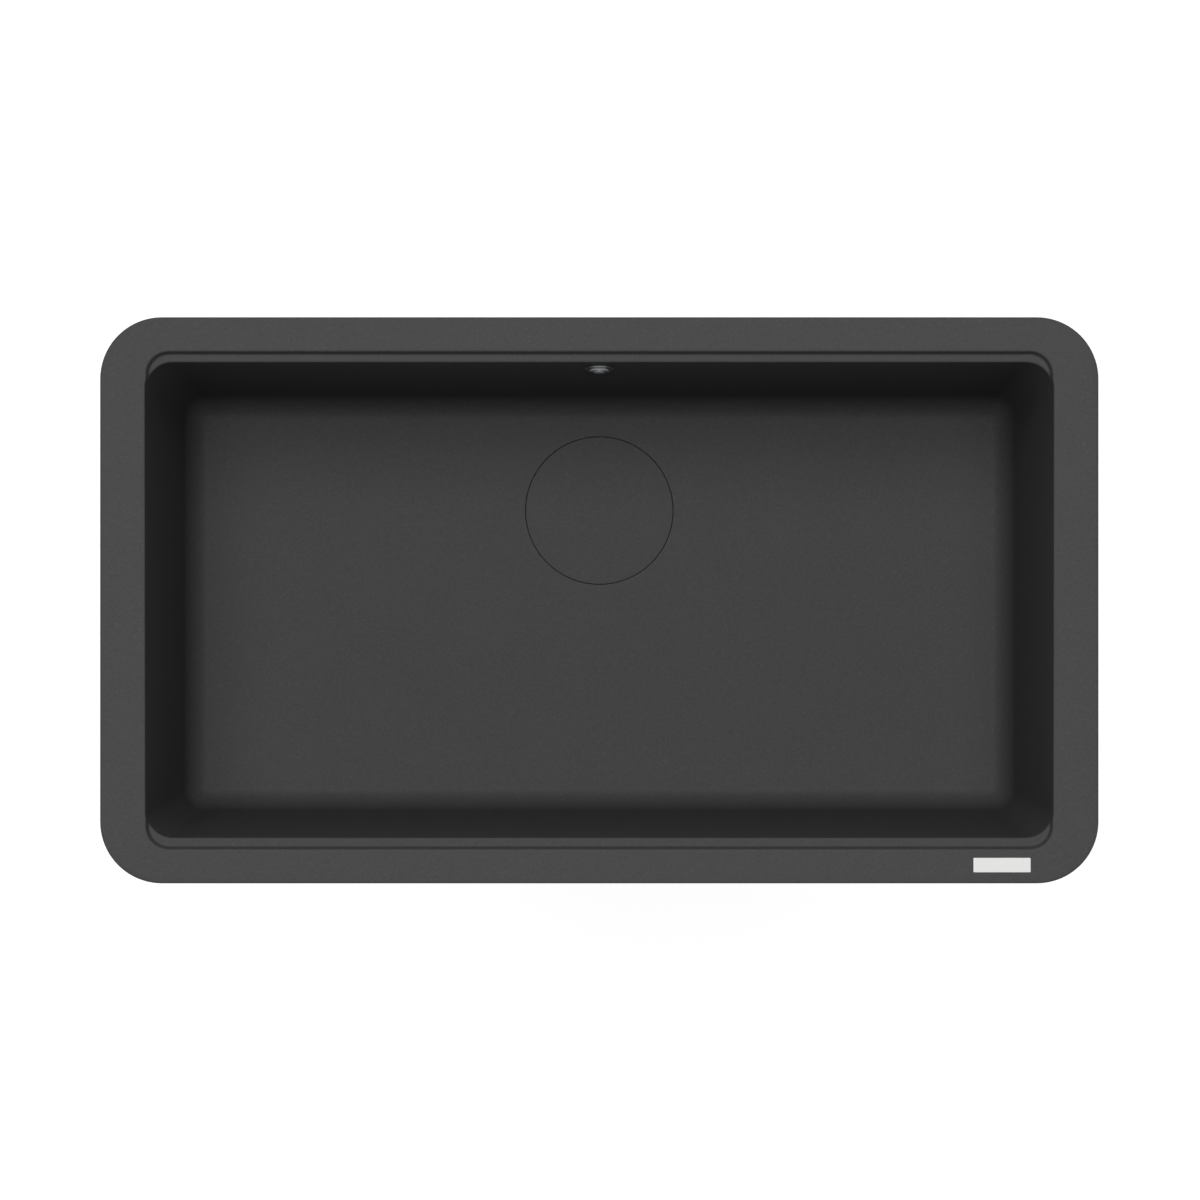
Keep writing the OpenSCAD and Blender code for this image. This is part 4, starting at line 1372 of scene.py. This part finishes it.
@dataclass
class StrainerBasket:
    """The lift-out basket: a perforated steel cup with a hollow stem, a knob and a stopper ring."""

    base_z: float = -241.8
    top_z: float = -205.0
    base_r: float = 38.0
    rim_r: float = 40.9
    roll_r: float = 0.9
    sheet: float = 1.2
    stem_r: float = 10.0
    hole_r: float = 2.0
    holes: int = 20
    hole_ring: float = 30.0
    slot_w: float = 2.5
    slots: int = 24
    slot_foot: float = 7.0
    slot_head: float = 6.0
    tool_depth: float = 6.0

    def cup(self) -> bpy.types.Object:
        """The cup before it's pierced, with its rolled rim and a round at its foot."""
        t = self.sheet
        neck = self.rim_r - self.roll_r
        profile = [(self.stem_r, self.base_z)]
        profile += arc(self.base_r - 3, self.base_z + 3, 3, -90, -5, 6)
        profile += [(neck + t / 2, self.top_z - 1.2)]
        profile += arc(neck, self.top_z, self.roll_r, -50, 230, 14)
        profile += [(neck - t / 2, self.top_z - 1.2)]
        profile += arc(self.base_r - 3, self.base_z + 3, 3 - t, -5, -90, 6)
        profile += [(self.stem_r, self.base_z + t)]
        return revolved("cup", profile, Matrix(), 144)

    def build(self) -> None:
        """Pierces the cup with Geometry Nodes and dresses the four parts of the basket."""
        cup = self.cup()
        sizes = {
            "Holes": self.holes,
            "Hole radius": self.hole_r * MM,
            "Slots": self.slots,
            "Slot width": self.slot_w * MM,
        }
        kit = NodeShape("basket_piercing", STEEL, sizes)

        def set_round(count: Socket, tool: Socket, r: float, z: float) -> Socket:
            spots = kit.add("GeometryNodePoints", {"Count": count})["Points"]
            share = kit.maths("DIVIDE", kit.add("GeometryNodeInputIndex")["Index"], count)
            turn = kit.maths("MULTIPLY", share, math.tau)
            x, y = (kit.maths("MULTIPLY", kit.maths(f, turn), r * MM) for f in ("COSINE", "SINE"))
            place = kit.add("ShaderNodeCombineXYZ", {"X": x, "Y": y, "Z": z * MM})["Vector"]
            moved = kit.add("GeometryNodeSetPosition", {"Geometry": spots, "Position": place})["Geometry"]
            spin = kit.add("ShaderNodeCombineXYZ", {"Z": turn})["Vector"]
            rotation = kit.add("FunctionNodeEulerToRotation", {"Euler": spin})["Rotation"]
            return kit.add(
                "GeometryNodeInstanceOnPoints", {"Points": moved, "Instance": tool, "Rotation": rotation}
            )["Instances"]

        punch = kit.add(
            "GeometryNodeMeshCylinder",
            {"Vertices": 16, "Radius": kit.inputs["Hole radius"], "Depth": self.tool_depth * MM},
        )["Mesh"]
        tall = self.top_z - self.base_z - (self.slot_foot + self.slot_head)
        size = kit.add(
            "ShaderNodeCombineXYZ", {"X": self.tool_depth * MM, "Y": kit.inputs["Slot width"], "Z": tall * MM}
        )["Vector"]
        blade = kit.add("GeometryNodeMeshCube", {"Size": size})["Mesh"]
        tools = kit.add("GeometryNodeJoinGeometry")
        punches = set_round(kit.inputs["Holes"], punch, self.hole_ring, self.base_z)
        blades = set_round(kit.inputs["Slots"], blade, self.base_r + 1, self.base_z + self.slot_foot + tall / 2)
        join = tools[0].node.inputs["Geometry"]
        kit.tree.links.new(punches, join)
        kit.tree.links.new(blades, join)
        solid_tools = kit.add("GeometryNodeRealizeInstances", {"Geometry": tools["Geometry"]})["Geometry"]
        cut = kit.add("GeometryNodeMeshBoolean", {"Mesh 1": kit.inputs["Geometry"], "Mesh 2": solid_tools})["Mesh"]
        piece = kit.made(cut, cup, "pierced_basket")
        piece.data.transform(Matrix.Translation(WASTE.translation * MM))
        tidy_mesh(piece.data)
        body = Body.BASKET.value
        dress(piece, STEEL, body, ["strainer_basket"], sharp=35.0)
        CarriedPart("basket_stem", DARK_PLASTIC, 0.5, body).build()
        CarriedPart("basket_knob", DARK_PLASTIC, 0.4, body).build()
        CarriedPart("basket_seal", RUBBER, 0.4, body).build()


@dataclass
class Waste:
    """The flange with its cup, the waste body under the sink, their seals and the clamp screw."""

    body_r: float = 50.5
    flange_under: float = -219.2
    gusset_reach: float = 7.5
    gusset_drop: float = 14.0
    gussets: int = 16
    gusset_half_t: float = 0.9
    gusset_turn: float = 11.25
    outlet_r: float = 23.9
    outlet_z: float = -292.0
    thread_len: float = 21.0
    thread_pitch: float = 2.3
    thread_depth: float = 0.9

    def gusset(self) -> bpy.types.Object:
        """One triangular web between the body's wall and its flange."""
        t = self.gusset_half_t
        inner, outer = self.body_r - 1.0, self.body_r + self.gusset_reach
        top, low = self.flange_under + 0.5, self.flange_under - self.gusset_drop
        side = [(inner, top), (outer, top), (outer - 0.4, top - 2.0), (self.body_r + 0.6, low), (inner, low)]
        shape = Surface()
        rows = [np.array([(x, y, z) for x, z in side]) for y in (-t, t)]
        shape.solid(rows)
        return shape.mesh("gusset")

    def build(self) -> None:
        """Dresses the pieces of the waste."""
        CarriedPart("waste_flange", STEEL, 0.25).build()
        CarriedPart("flange_seal", RUBBER, 0.3).build()
        CarriedPart("body_seal", RUBBER, 0.3).build()
        gussets = copies_round("gussets", self.gusset(), self.gussets, DARK_PLASTIC, WASTE, self.gusset_turn)
        thread = screw_thread(
            "outlet_thread",
            self.outlet_r,
            self.thread_pitch,
            self.thread_len,
            self.thread_depth,
            DARK_PLASTIC,
            WASTE @ Matrix.Translation((0, 0, self.outlet_z + 0.5)),
            48,
        )
        CarriedPart("waste_body", DARK_PLASTIC, 0.6).build([gussets, thread])
        CarriedPart("clamp_screw", STEEL, 0.3).build()
        CarriedPart("clamp_insert", BRASS, 0.2).build()


# Overflow


@dataclass
class Overflow:
    """The rose and cap in the back wall, the elbow behind it and the ribbed hose down to the waste.

    Depths run out through the wall from its inner face, so negative ones stand in the bowl.
    """

    rose_r: float = 12.0
    rose_front: float = -1.3
    rose_back: float = -0.5
    slot_r: float = 8.3
    rib_w: float = 2.2
    ribs: int = 6
    cap_front: float = -3.1
    cap_r: float = 8.2
    neck_r: float = 6.0
    head_r: float = 4.9
    head_h: float = 1.3
    slot_turn: float = -36.0
    slot_half_w: float = 0.6
    hose_r: float = 11.0
    hose_low_r: float = 9.55
    cuff_r: float = 10.2
    cuff_len: float = 15.0
    collar_r: float = 11.6
    collar_len: float = 2.0
    hose_ribs: int = 36
    nut_r: float = 14.2
    nut_h: float = 15.0
    nut_back: float = 8.1
    grips: int = 24

    def rose(self) -> None:
        """A flat rose: an outer ring, a hub and six spokes with water ways between them."""
        f, b = self.rose_front, self.rose_back
        ring = revolved(
            "ring",
            [(self.slot_r, b), (self.slot_r + 0.75, f), (self.rose_r - 0.85, f), (self.rose_r, b)],
            OVERFLOW,
            72,
        )
        hub = revolved(
            "hub", [(2.05, b), (2.05, f + 0.4), (self.neck_r - 0.6, f + 0.4), (self.neck_r - 0.9, b)], OVERFLOW, 48
        )
        spoke = Surface()
        inner, outer, half = self.neck_r - 1.5, self.slot_r + 0.5, self.rib_w / 2
        low, high = f + 0.55, f + 0.45
        section = [(-half, b), (-half, low), (0.1 - half, high), (half - 0.1, high), (half, low), (half, b)]
        rows = [np.array([(x, y, z) for y, z in section]) for x in (inner, outer)]
        spoke.solid(rows)
        spokes = copies_round("spokes", spoke.mesh("spoke"), self.ribs, SMOKED, OVERFLOW)
        dress(joined("slotted_rose", [ring, hub, spokes]), SMOKED, Body.ROOT.value, ["overflow_rose"])

    def cap(self) -> None:
        """A cap that flares towards the bowl: satin sides, a flat smoked front and a thin edge."""
        f, neck = self.cap_front, self.rose_front + 0.4
        flare = [
            (self.cap_r + (self.neck_r - self.cap_r) * s, f + 0.15 + (neck - f - 0.15) * s)
            for s in np.linspace(0, 1, 9)
        ]
        front = [(2.2, f), (self.cap_r - 0.1, f)]
        piece = revolved("flared_cap", front + flare + [(2.2, neck)], OVERFLOW, 96)
        dress(piece, SATIN, Body.ROOT.value, ["overflow_cap"])
        self.polish(piece)

    @staticmethod
    def polish(piece: bpy.types.Object, facing: float = 0.97) -> None:
        """Gives the flat faces that look into the bowl the smoked plate.

        Args:
            piece: The dressed piece.
            facing: Cosine of the angle to the wall's normal under which a face counts.
        """
        out = OVERFLOW.to_3x3() @ Vector((0.0, 0.0, -1.0))
        piece.data.materials.append(SMOKED.material())
        for face in piece.data.polygons:
            face.material_index = int(face.normal.dot(out) > facing)

    def screw(self) -> None:
        """The screw through the cap: a wide conical head with a slot, and a plain shank into the elbow's insert."""
        f, r, h = self.cap_front, self.head_r, self.head_h
        profile = [(0.0, f - h), (r - 1.3, f - h), (r - 1.15, f - h + 0.06), (r - 0.1, f - 0.12), (r - 0.1, f)]
        profile += [(2.0, f), (2.0, 20.9), (0.0, 20.9)]
        body = revolved("cap_screw", profile, OVERFLOW, 72)
        tool = Surface()
        w, above, bottom = self.slot_half_w, f - h - 1, f - h + 0.6
        section = ((-w, above), (w, above), (w, bottom), (-w, bottom))
        rows = [np.array([(x, y, z) for y, z in section]) for x in (-r - 1, r + 1)]
        tool.solid(rows)
        blade = tool.mesh("slot", OVERFLOW @ Matrix.Rotation(math.radians(self.slot_turn), 4, "Z"))
        body = carved(body, [blade], "cap_screw")
        dress(body, SCREW_STEEL, Body.ROOT.value, ["overflow_screw"])
        self.polish(body)

    def route(self) -> np.ndarray:
        """Middle line of the hose.

        Returns:
            Points in the plane x = 0: straight out of both unions, with one smooth bend between.
        """
        # Where the hose leaves each union and which way it points, in Y and Z
        start, way = np.array([195.306, -78.555]), np.array([-0.11667, -0.99317])
        end, back = np.array([141.5, -234.1]), np.array([1.0, 0.0])
        straight = 22.0
        a, d = start + straight * way, end + straight * back
        pull = (0.62 * (a[1] - d[1]), 0.8 * (a[0] - d[0]) + 10)
        b, c = a + pull[0] * way, d + pull[1] * back
        t = np.linspace(0, 1, 90)[:, None]
        bend = (1 - t) ** 3 * a + 3 * t * (1 - t) ** 2 * b + 3 * t * t * (1 - t) * c + t**3 * d
        line = np.concatenate([np.linspace(start, a, 12)[:-1], bend, np.linspace(d, end, 12)[1:]])
        return np.concatenate([np.zeros((len(line), 1)), line], axis=1)

    def hose(self) -> None:
        """Sweeps the blown hose along its route: a collar and a plain cuff at each end, ribs between."""
        points = self.route()
        total = float(np.linalg.norm(np.diff(points, axis=0), axis=1).sum())
        data = bpy.data.meshes.new("hose_route")
        data.from_pydata([tuple(p * MM) for p in points], [(i, i + 1) for i in range(len(points) - 1)], [])
        start = bpy.data.objects.new("hose_route", data)
        bpy.context.collection.objects.link(start)
        sizes = {
            "Rib count": float(self.hose_ribs),
            "Rib radius": self.hose_r * MM,
            "Groove radius": self.hose_low_r * MM,
            "Cuff radius": self.cuff_r * MM,
            "Cuff length": self.cuff_len * MM,
            "Collar radius": self.collar_r * MM,
            "Collar length": self.collar_len * MM,
        }
        kit = NodeShape("ribbed_hose", HOSE_PLASTIC, sizes)
        line = kit.add("GeometryNodeMeshToCurve", {"Mesh": kit.inputs["Geometry"]})["Curve"]
        fine = kit.add("GeometryNodeResampleCurve", {"Curve": line, "Count": 620})["Curve"]
        along = kit.add("GeometryNodeSplineParameter")["Length"]
        whole = kit.add("GeometryNodeSplineLength")["Length"]
        edge = kit.maths("MINIMUM", along, kit.maths("SUBTRACT", whole, along))
        inside = kit.maths("SUBTRACT", along, kit.inputs["Cuff length"])
        ribbed = kit.maths("SUBTRACT", whole, kit.maths("MULTIPLY", kit.inputs["Cuff length"], 2.0))
        turns = kit.maths("MULTIPLY", kit.maths("DIVIDE", inside, ribbed), kit.inputs["Rib count"])
        wave = kit.maths("COSINE", kit.maths("MULTIPLY", turns, math.tau))
        # The crest of a blown rib is broad and its groove narrow, so the wave is raised to a power.
        crest = kit.maths("POWER", kit.maths("MULTIPLY_ADD", wave, -0.5, 0.5), 0.55)
        rise = kit.maths("SUBTRACT", kit.inputs["Rib radius"], kit.inputs["Groove radius"])
        rib = kit.maths("MULTIPLY_ADD", crest, rise, kit.inputs["Groove radius"])

        def blend(low: object, high: object, at: object, width: float) -> Socket:
            return kit.add(
                "ShaderNodeMapRange",
                {
                    "Value": edge,
                    "From Min": kit.maths("SUBTRACT", at, width * MM),
                    "From Max": kit.maths("ADD", at, width * MM),
                    "To Min": low,
                    "To Max": high,
                },
                interpolation_type="SMOOTHSTEP",
            )["Result"]

        cuff = blend(kit.inputs["Collar radius"], kit.inputs["Cuff radius"], kit.inputs["Collar length"], 0.25)
        radius = blend(cuff, rib, kit.inputs["Cuff length"], 0.4)
        sized = kit.add("GeometryNodeSetCurveRadius", {"Curve": fine, "Radius": radius})["Curve"]
        upright = kit.add("GeometryNodeSetCurveNormal", {"Curve": sized}, mode="MINIMUM_TWIST")["Curve"]
        tube = kit.add("GeometryNodeCurvePrimitiveCircle", {"Resolution": 40, "Radius": 1.0})["Curve"]
        scale = kit.add("GeometryNodeInputRadius")["Radius"]
        inputs = {"Curve": upright, "Profile Curve": tube, "Fill Caps": True}
        swept = add_node(kit.tree, "GeometryNodeCurveToMesh", inputs)
        if "Scale" in swept.inputs:
            kit.tree.links.new(scale, swept.inputs["Scale"])
        piece = kit.made(swept.outputs["Mesh"], start, "ribbed_hose")
        LOG.info("hose: %.1f mm along its middle", total)
        tidy_mesh(piece.data, 50.0)
        dress(piece, HOSE_PLASTIC, Body.ROOT.value, ["overflow_hose"], sharp=50.0)

    def nut(self, name: str, place: Matrix) -> bpy.types.Object:
        """The wall of one union nut, from its thread's end at z = 0 down to the lip under the hose's collar."""
        r, h = self.nut_r - 0.8, self.nut_h
        bore, lip_bore, lip = 12.2, 10.4, 2.5
        profile = [(bore + 0.3, 0.0), (r - 0.5, 0.0), (r, -0.5), (r, 2.6 - h), (r - 0.5, 1.4 - h), (r - 1.4, 0.3 - h)]
        profile += [(r - 1.9, -h), (lip_bore, -h), (lip_bore, lip - h), (bore, lip - h), (bore, -0.3)]
        return revolved(name, profile, place, 72)

    def grip(self) -> bpy.types.Object:
        """One rounded grip rib of a union nut, which runs down its wall."""
        r, w = self.nut_r, 0.85
        shape = Surface()
        section = [(r - 1.3, -w), (r - 0.7, -w), (r - 0.2, -w * 0.6), (r, 0.0), (r - 0.2, w * 0.6), (r - 0.7, w)]
        section.append((r - 1.3, w))
        rows = []
        for z, deep in ((-1.2, 0.7), (-1.9, 0.0), (3.4 - self.nut_h, 0.0), (2.7 - self.nut_h, 0.7)):
            rows.append(np.array([(min(x, max(x - deep, r - 0.9)), y, z) for x, y in section]))
        shape.solid(rows)
        return shape.mesh("grip")

    def nuts(self) -> None:
        """The two union nuts with their grip ribs."""
        places = {
            "upper": BACK_WALL @ Matrix.Translation((0, 23.5, self.nut_back - 52.0)),
            "lower": Matrix.Translation((0, 139.5 - self.nut_back, -234.1)) @ Matrix.Rotation(math.pi / 2, 4, "X"),
        }
        parts = []
        for name, place in places.items():
            parts.append(self.nut(f"{name}_nut", place))
            parts.append(copies_round(f"{name}_grips", self.grip(), self.grips, DARK_PLASTIC, place))
        dress(joined("union_nuts", parts), DARK_PLASTIC, Body.ROOT.value, ["hose_nuts"])
        CarriedPart("hose_washers", RUBBER, 0.1).build()

    def build(self) -> None:
        """Builds the overflow from the wall outwards."""
        self.rose()
        self.cap()
        self.screw()
        CarriedPart("overflow_washer", RUBBER, 0.1).build()
        CarriedPart("elbow_seal", RUBBER, 0.3).build()
        CarriedPart("overflow_elbow", DARK_PLASTIC, 0.8).build()
        CarriedPart("elbow_insert", BRASS, 0.15).build()
        self.nuts()
        self.hose()


# Fixings


@dataclass
class Fixings:
    """The foam strip and the eight claws with their screws, washers and inserts."""

    reach: float = 24.0
    width: float = 14.0
    sheet: float = 2.5
    lip: float = 6.0
    bend_r: float = 1.2
    plate_z: float = -52.5
    screw_r: float = 2.5
    thread_pitch: float = 0.8
    thread_depth: float = 0.42
    washer_z: float = -53.7
    head_r: float = 4.75
    head_h: float = 3.5

    def spine(self) -> list[tuple[float, float, float]]:
        """Underside of the bent strip.

        Returns:
            Rows of X, Z and the slope in radians, from the heel, round the bend and up the toe.
        """
        heel = -self.width / 2
        r = self.bend_r + self.sheet
        rows = [(heel + 7.0 * (1 - math.cos(t)), 0.0, 0.0) for t in np.radians(np.linspace(6, 90, 9))]
        rows += [(x, 0.0, 0.0) for x in np.linspace(4, self.reach - r, 4)]
        for t in np.linspace(0, math.pi / 2, 7)[1:]:
            rows.append((self.reach - r + r * math.sin(t), r - r * math.cos(t), t))
        top = self.sheet + self.lip
        rows += [(self.reach, z, math.pi / 2) for z in (r + 1.5, top - 0.8, top)]
        return rows

    def strip(self) -> bpy.types.Object:
        """One claw at the origin, pointing along +X: a bent strip with a raised bead."""
        shape = Surface()
        rows = []
        for number, (x, z, slope) in enumerate(self.spine()):
            half = self.width / 2
            if x < 0 and slope == 0:
                half = math.sqrt(max(half * half - x * x, 0.3))
            if number == len(self.spine()) - 1:
                half -= 0.8
            up = np.array([-math.sin(slope), 0, math.cos(slope)])
            foot = np.array([x, 0, z])
            e = min(0.35, half / 3)
            ring = []
            for side, rise in (
                (-1, e), (-1, self.sheet - e), (-1 + e / half, self.sheet), (1 - e / half, self.sheet),
                (1, self.sheet - e), (1, e), (1 - e / half, 0), (-1 + e / half, 0),
            ):
                ring.append(foot + up * rise + np.array([0, side * half, 0]))
            rows.append(np.array(ring))
        shape.solid(rows)
        bead = Surface()
        start, end, w = self.reach * 0.45, self.reach * 0.86, self.sheet / 2
        rows = []
        swell = ((start, 0.15), (start + 1.0, 0.8), (start + 2.0, 1.0), (end - 2.0, 1.0), (end - 1.0, 0.8), (end, 0.15))
        for x, share in swell:
            turns = np.radians(np.linspace(0, 180, 9))
            arch = [(x, w * math.cos(t), self.sheet + 1.9 * share * math.sin(t)) for t in turns]
            rows.append(np.array([(x, -w, self.sheet - 0.3), (x, w, self.sheet - 0.3)] + arch))
        bead.solid(rows)
        return joined("claw_strip", [shape.mesh("strip"), bead.mesh("bead")])

    def claws(self) -> None:
        """Places the eight claws, parked along the wall."""
        for name, (x, y, way) in CLAW_PLACES.items():
            piece = self.strip()
            place = Matrix.Translation((x * MM, y * MM, self.plate_z * MM)) @ Matrix.Rotation(
                math.radians(way - 90), 4, "Z"
            )
            piece.data.transform(place)
            piece.name = piece.data.name = f"{name}_strip"
            dress(piece, ZINC, name, [name], sharp=40.0)

    def screws(self) -> None:
        """The eight screws: a pan head with a cross recess, a shank and its thread."""
        top = -3.0
        head = self.washer_z
        r, hr, hh = self.screw_r, self.head_r, self.head_h
        core = r * 0.82
        profile = [(0.0, top), (r * 0.7, top), (core, top - 0.6), (core, head + 2.5), (r, head + 1.6), (r, head)]
        profile += [(hr - 0.2, head), (hr, head - 0.3)]
        profile += arc(hr - 1.6, head - hh + 1.6, 1.6, 0, -90, 6) + [(0.0, head - hh)]
        body = revolved("screw", profile, Matrix(), 40)
        cross = []
        for turn in (0, 90):
            bar = Surface()
            rows = [
                np.array([(-s, -0.55, z), (s, -0.55, z), (s, 0.55, z), (-s, 0.55, z)])
                for s, z in ((2.6, head - hh - 0.5), (1.6, head - hh + 2.0))
            ]
            bar.solid(rows)
            cross.append(bar.mesh("bar", Matrix.Rotation(math.radians(turn), 4, "Z")))
        body = carved(body, cross, "screw")
        thread = screw_thread(
            "screw_thread",
            r,
            self.thread_pitch,
            top - head - 3.0,
            self.thread_depth,
            ZINC,
            Matrix.Translation((0, 0, head + 2.6)),
            20,
        )
        spots = [Vector((x, y, 0)) for x, y, _ in CLAW_PLACES.values()]
        piece = copies_at("claw_screw_set", joined("screw", [body, thread]), spots, ZINC)
        dress(piece, ZINC, Body.ROOT.value, ["claw_screws"], sharp=30.0)

    def build(self) -> None:
        """Builds the fixings."""
        self.claws()
        self.screws()
        CarriedPart("claw_washers", ZINC, 0.2).build()
        CarriedPart("claw_inserts", BRASS, 0.2).build()
        CarriedPart("rim_seal", FOAM, 0.25).build()


# Studio


@dataclass
class Studio:
    """White floor, soft light from above and behind, and the camera straight above.

    Attributes:
        floor_z: Height of the floor in metres, like every other length here except the lens.
        lens: Focal length in millimetres on a sensor 36 mm wide.
        world_light: Strength of the even light on the sink.
        floor_glow: What the floor adds to its own shade where it is seen.
        backdrop_end: Sine of the angle above the horizon up to which a mirror shows white.
        ceiling_start: Sine of the angle past which it shows the dim ceiling.
    """

    floor_z: float = -0.9
    eye: tuple[float, float, float] = (0.00053, 0.00023, 5.01)
    lens: float = 197.1
    world_light: float = 0.04
    key_power: float = 375.0
    key_place: tuple[float, float, float] = (-0.35, 1.1, 6.2)
    key_size: float = 5.0
    low_power: float = 14.0
    low_size: float = 1.2
    low_place: tuple[float, float, float] = (2.6, 2.0, -0.75)
    low_target: tuple[float, float, float] = (0.0, 0.0, -0.15)
    floor_half: float = 20.0
    floor_glow: float = 0.9
    backdrop_end: float = 0.17
    ceiling_start: float = 0.57

    def camera(self) -> None:
        """Looks straight down with the long lens that the photograph's proportions give."""
        data = bpy.data.cameras.new("camera")
        data.lens = self.lens
        data.sensor_width = 36.0
        data.clip_end = 100.0
        made = bpy.data.objects.new("camera", data)
        made.location = self.eye
        bpy.context.collection.objects.link(made)
        bpy.context.scene.camera = made

    def floor(self) -> None:
        """A wide pale floor that keeps the sink's shadow and lets a view from below through."""
        shape = Surface()
        half, z = self.floor_half / MM, self.floor_z / MM
        made = shape.row(np.array([(-half, -half, z), (half, -half, z), (half, half, z), (-half, half, z)]))
        shape.cap(made)
        piece = shape.mesh("studio_floor")
        if piece.data.polygons[0].normal.z < 0:
            piece.data.flip_normals()
        material = bpy.data.materials.new("pale_floor")
        material.use_nodes = True
        tree = material.node_tree
        tree.nodes.clear()
        paint = add_node(tree, "ShaderNodeBsdfDiffuse", {"Color": linear("#9a9a9a")})
        glow = add_node(tree, "ShaderNodeEmission", {"Color": (1, 1, 1, 1), "Strength": self.floor_glow})
        seen = add_node(tree, "ShaderNodeAddShader", {0: paint.outputs[0], 1: glow.outputs[0]})
        path = add_node(tree, "ShaderNodeLightPath")
        direct = self.seen_directly(tree, path)
        surface = add_node(tree, "ShaderNodeMixShader", {0: direct, 1: paint.outputs[0], 2: seen.outputs[0]})
        clear = add_node(tree, "ShaderNodeBsdfTransparent")
        behind = add_node(tree, "ShaderNodeNewGeometry").outputs["Backfacing"]
        final = add_node(tree, "ShaderNodeMixShader", {0: behind, 1: surface.outputs[0], 2: clear.outputs[0]})
        add_node(tree, "ShaderNodeOutputMaterial", {"Surface": final.outputs[0]})
        piece.data.materials.append(material)

    @staticmethod
    def seen_directly(tree: Tree, path: bpy.types.Node) -> Socket:
        """A factor of 1 for rays from the camera, in a mirror or through glass."""
        pair = add_node(
            tree,
            "ShaderNodeMath",
            {0: path.outputs["Is Camera Ray"], 1: path.outputs["Is Glossy Ray"]},
            operation="MAXIMUM",
        )
        return add_node(
            tree, "ShaderNodeMath", {0: pair.outputs[0], 1: path.outputs["Is Transmission Ray"]}, operation="MAXIMUM"
        ).outputs[0]

    def world(self) -> None:
        """White behind the sink, a dim room overhead, and a low even light on the sink."""
        world = bpy.data.worlds.new("studio")
        bpy.context.scene.world = world
        world.use_nodes = True
        tree = world.node_tree
        tree.nodes.clear()
        path = add_node(tree, "ShaderNodeLightPath")
        direction = add_node(tree, "ShaderNodeTexCoord").outputs["Generated"]
        way = add_node(tree, "ShaderNodeSeparateXYZ", {"Vector": direction})
        backdrop = add_node(
            tree,
            "ShaderNodeMapRange",
            {
                "Value": way.outputs["Z"],
                "From Min": self.backdrop_end,
                "From Max": self.ceiling_start,
                "To Min": 1.0,
                "To Max": self.world_light,
            },
            interpolation_type="SMOOTHSTEP",
        )
        white = add_node(tree, "ShaderNodeBackground", {"Color": (1, 1, 1, 1), "Strength": 1.0})
        mirrored = add_node(
            tree, "ShaderNodeBackground", {"Color": (1, 1, 1, 1), "Strength": backdrop.outputs["Result"]}
        )
        soft = add_node(tree, "ShaderNodeBackground", {"Color": (1, 1, 1, 1), "Strength": self.world_light})
        seen = add_node(
            tree,
            "ShaderNodeMath",
            {0: path.outputs["Is Camera Ray"], 1: path.outputs["Is Transmission Ray"]},
            operation="MAXIMUM",
        )
        lit = add_node(
            tree, "ShaderNodeMixShader", {0: path.outputs["Is Glossy Ray"], 1: soft.outputs[0], 2: mirrored.outputs[0]}
        )
        mixed = add_node(tree, "ShaderNodeMixShader", {0: seen.outputs[0], 1: lit.outputs[0], 2: white.outputs[0]})
        add_node(tree, "ShaderNodeOutputWorld", {"Surface": mixed.outputs[0]})

    def lamp(
        self,
        name: str,
        place: tuple[float, float, float],
        target: tuple[float, float, float],
        size: float,
        power: float,
    ) -> None:
        """Adds one square area lamp.

        Args:
            name: The lamp's name.
            place: Where it stands, in metres.
            target: What it points at.
            size: Its side in metres.
            power: Its power in watts.
        """
        data = bpy.data.lights.new(name, "AREA")
        data.size = size
        data.energy = power
        made = bpy.data.objects.new(name, data)
        made.location = place
        made.rotation_euler = (Vector(target) - Vector(place)).to_track_quat("-Z", "Y").to_euler()
        bpy.context.collection.objects.link(made)

    def build(self) -> None:
        """Sets up the studio."""
        self.camera()
        self.floor()
        self.world()
        self.lamp("overhead", self.key_place, (0, 0, 0), self.key_size, self.key_power)
        x, y, z = self.low_place
        for n, (right, back) in enumerate(((1, -1), (-1, -1), (1, 1), (-1, 1))):
            self.lamp(f"low_{n}", (x * right, y * back, z), self.low_target, self.low_size, self.low_power)
        bpy.context.scene.view_settings.view_transform = "Standard"


def main() -> None:
    logging.basicConfig(level=logging.INFO, format="%(message)s")
    Studio().build()
    Basin().build()
    RimLabel().build()
    WasteCover().build()
    StrainerBasket().build()
    Waste().build()
    Overflow().build()
    Fixings().build()


if __name__ == "__main__":
    main()
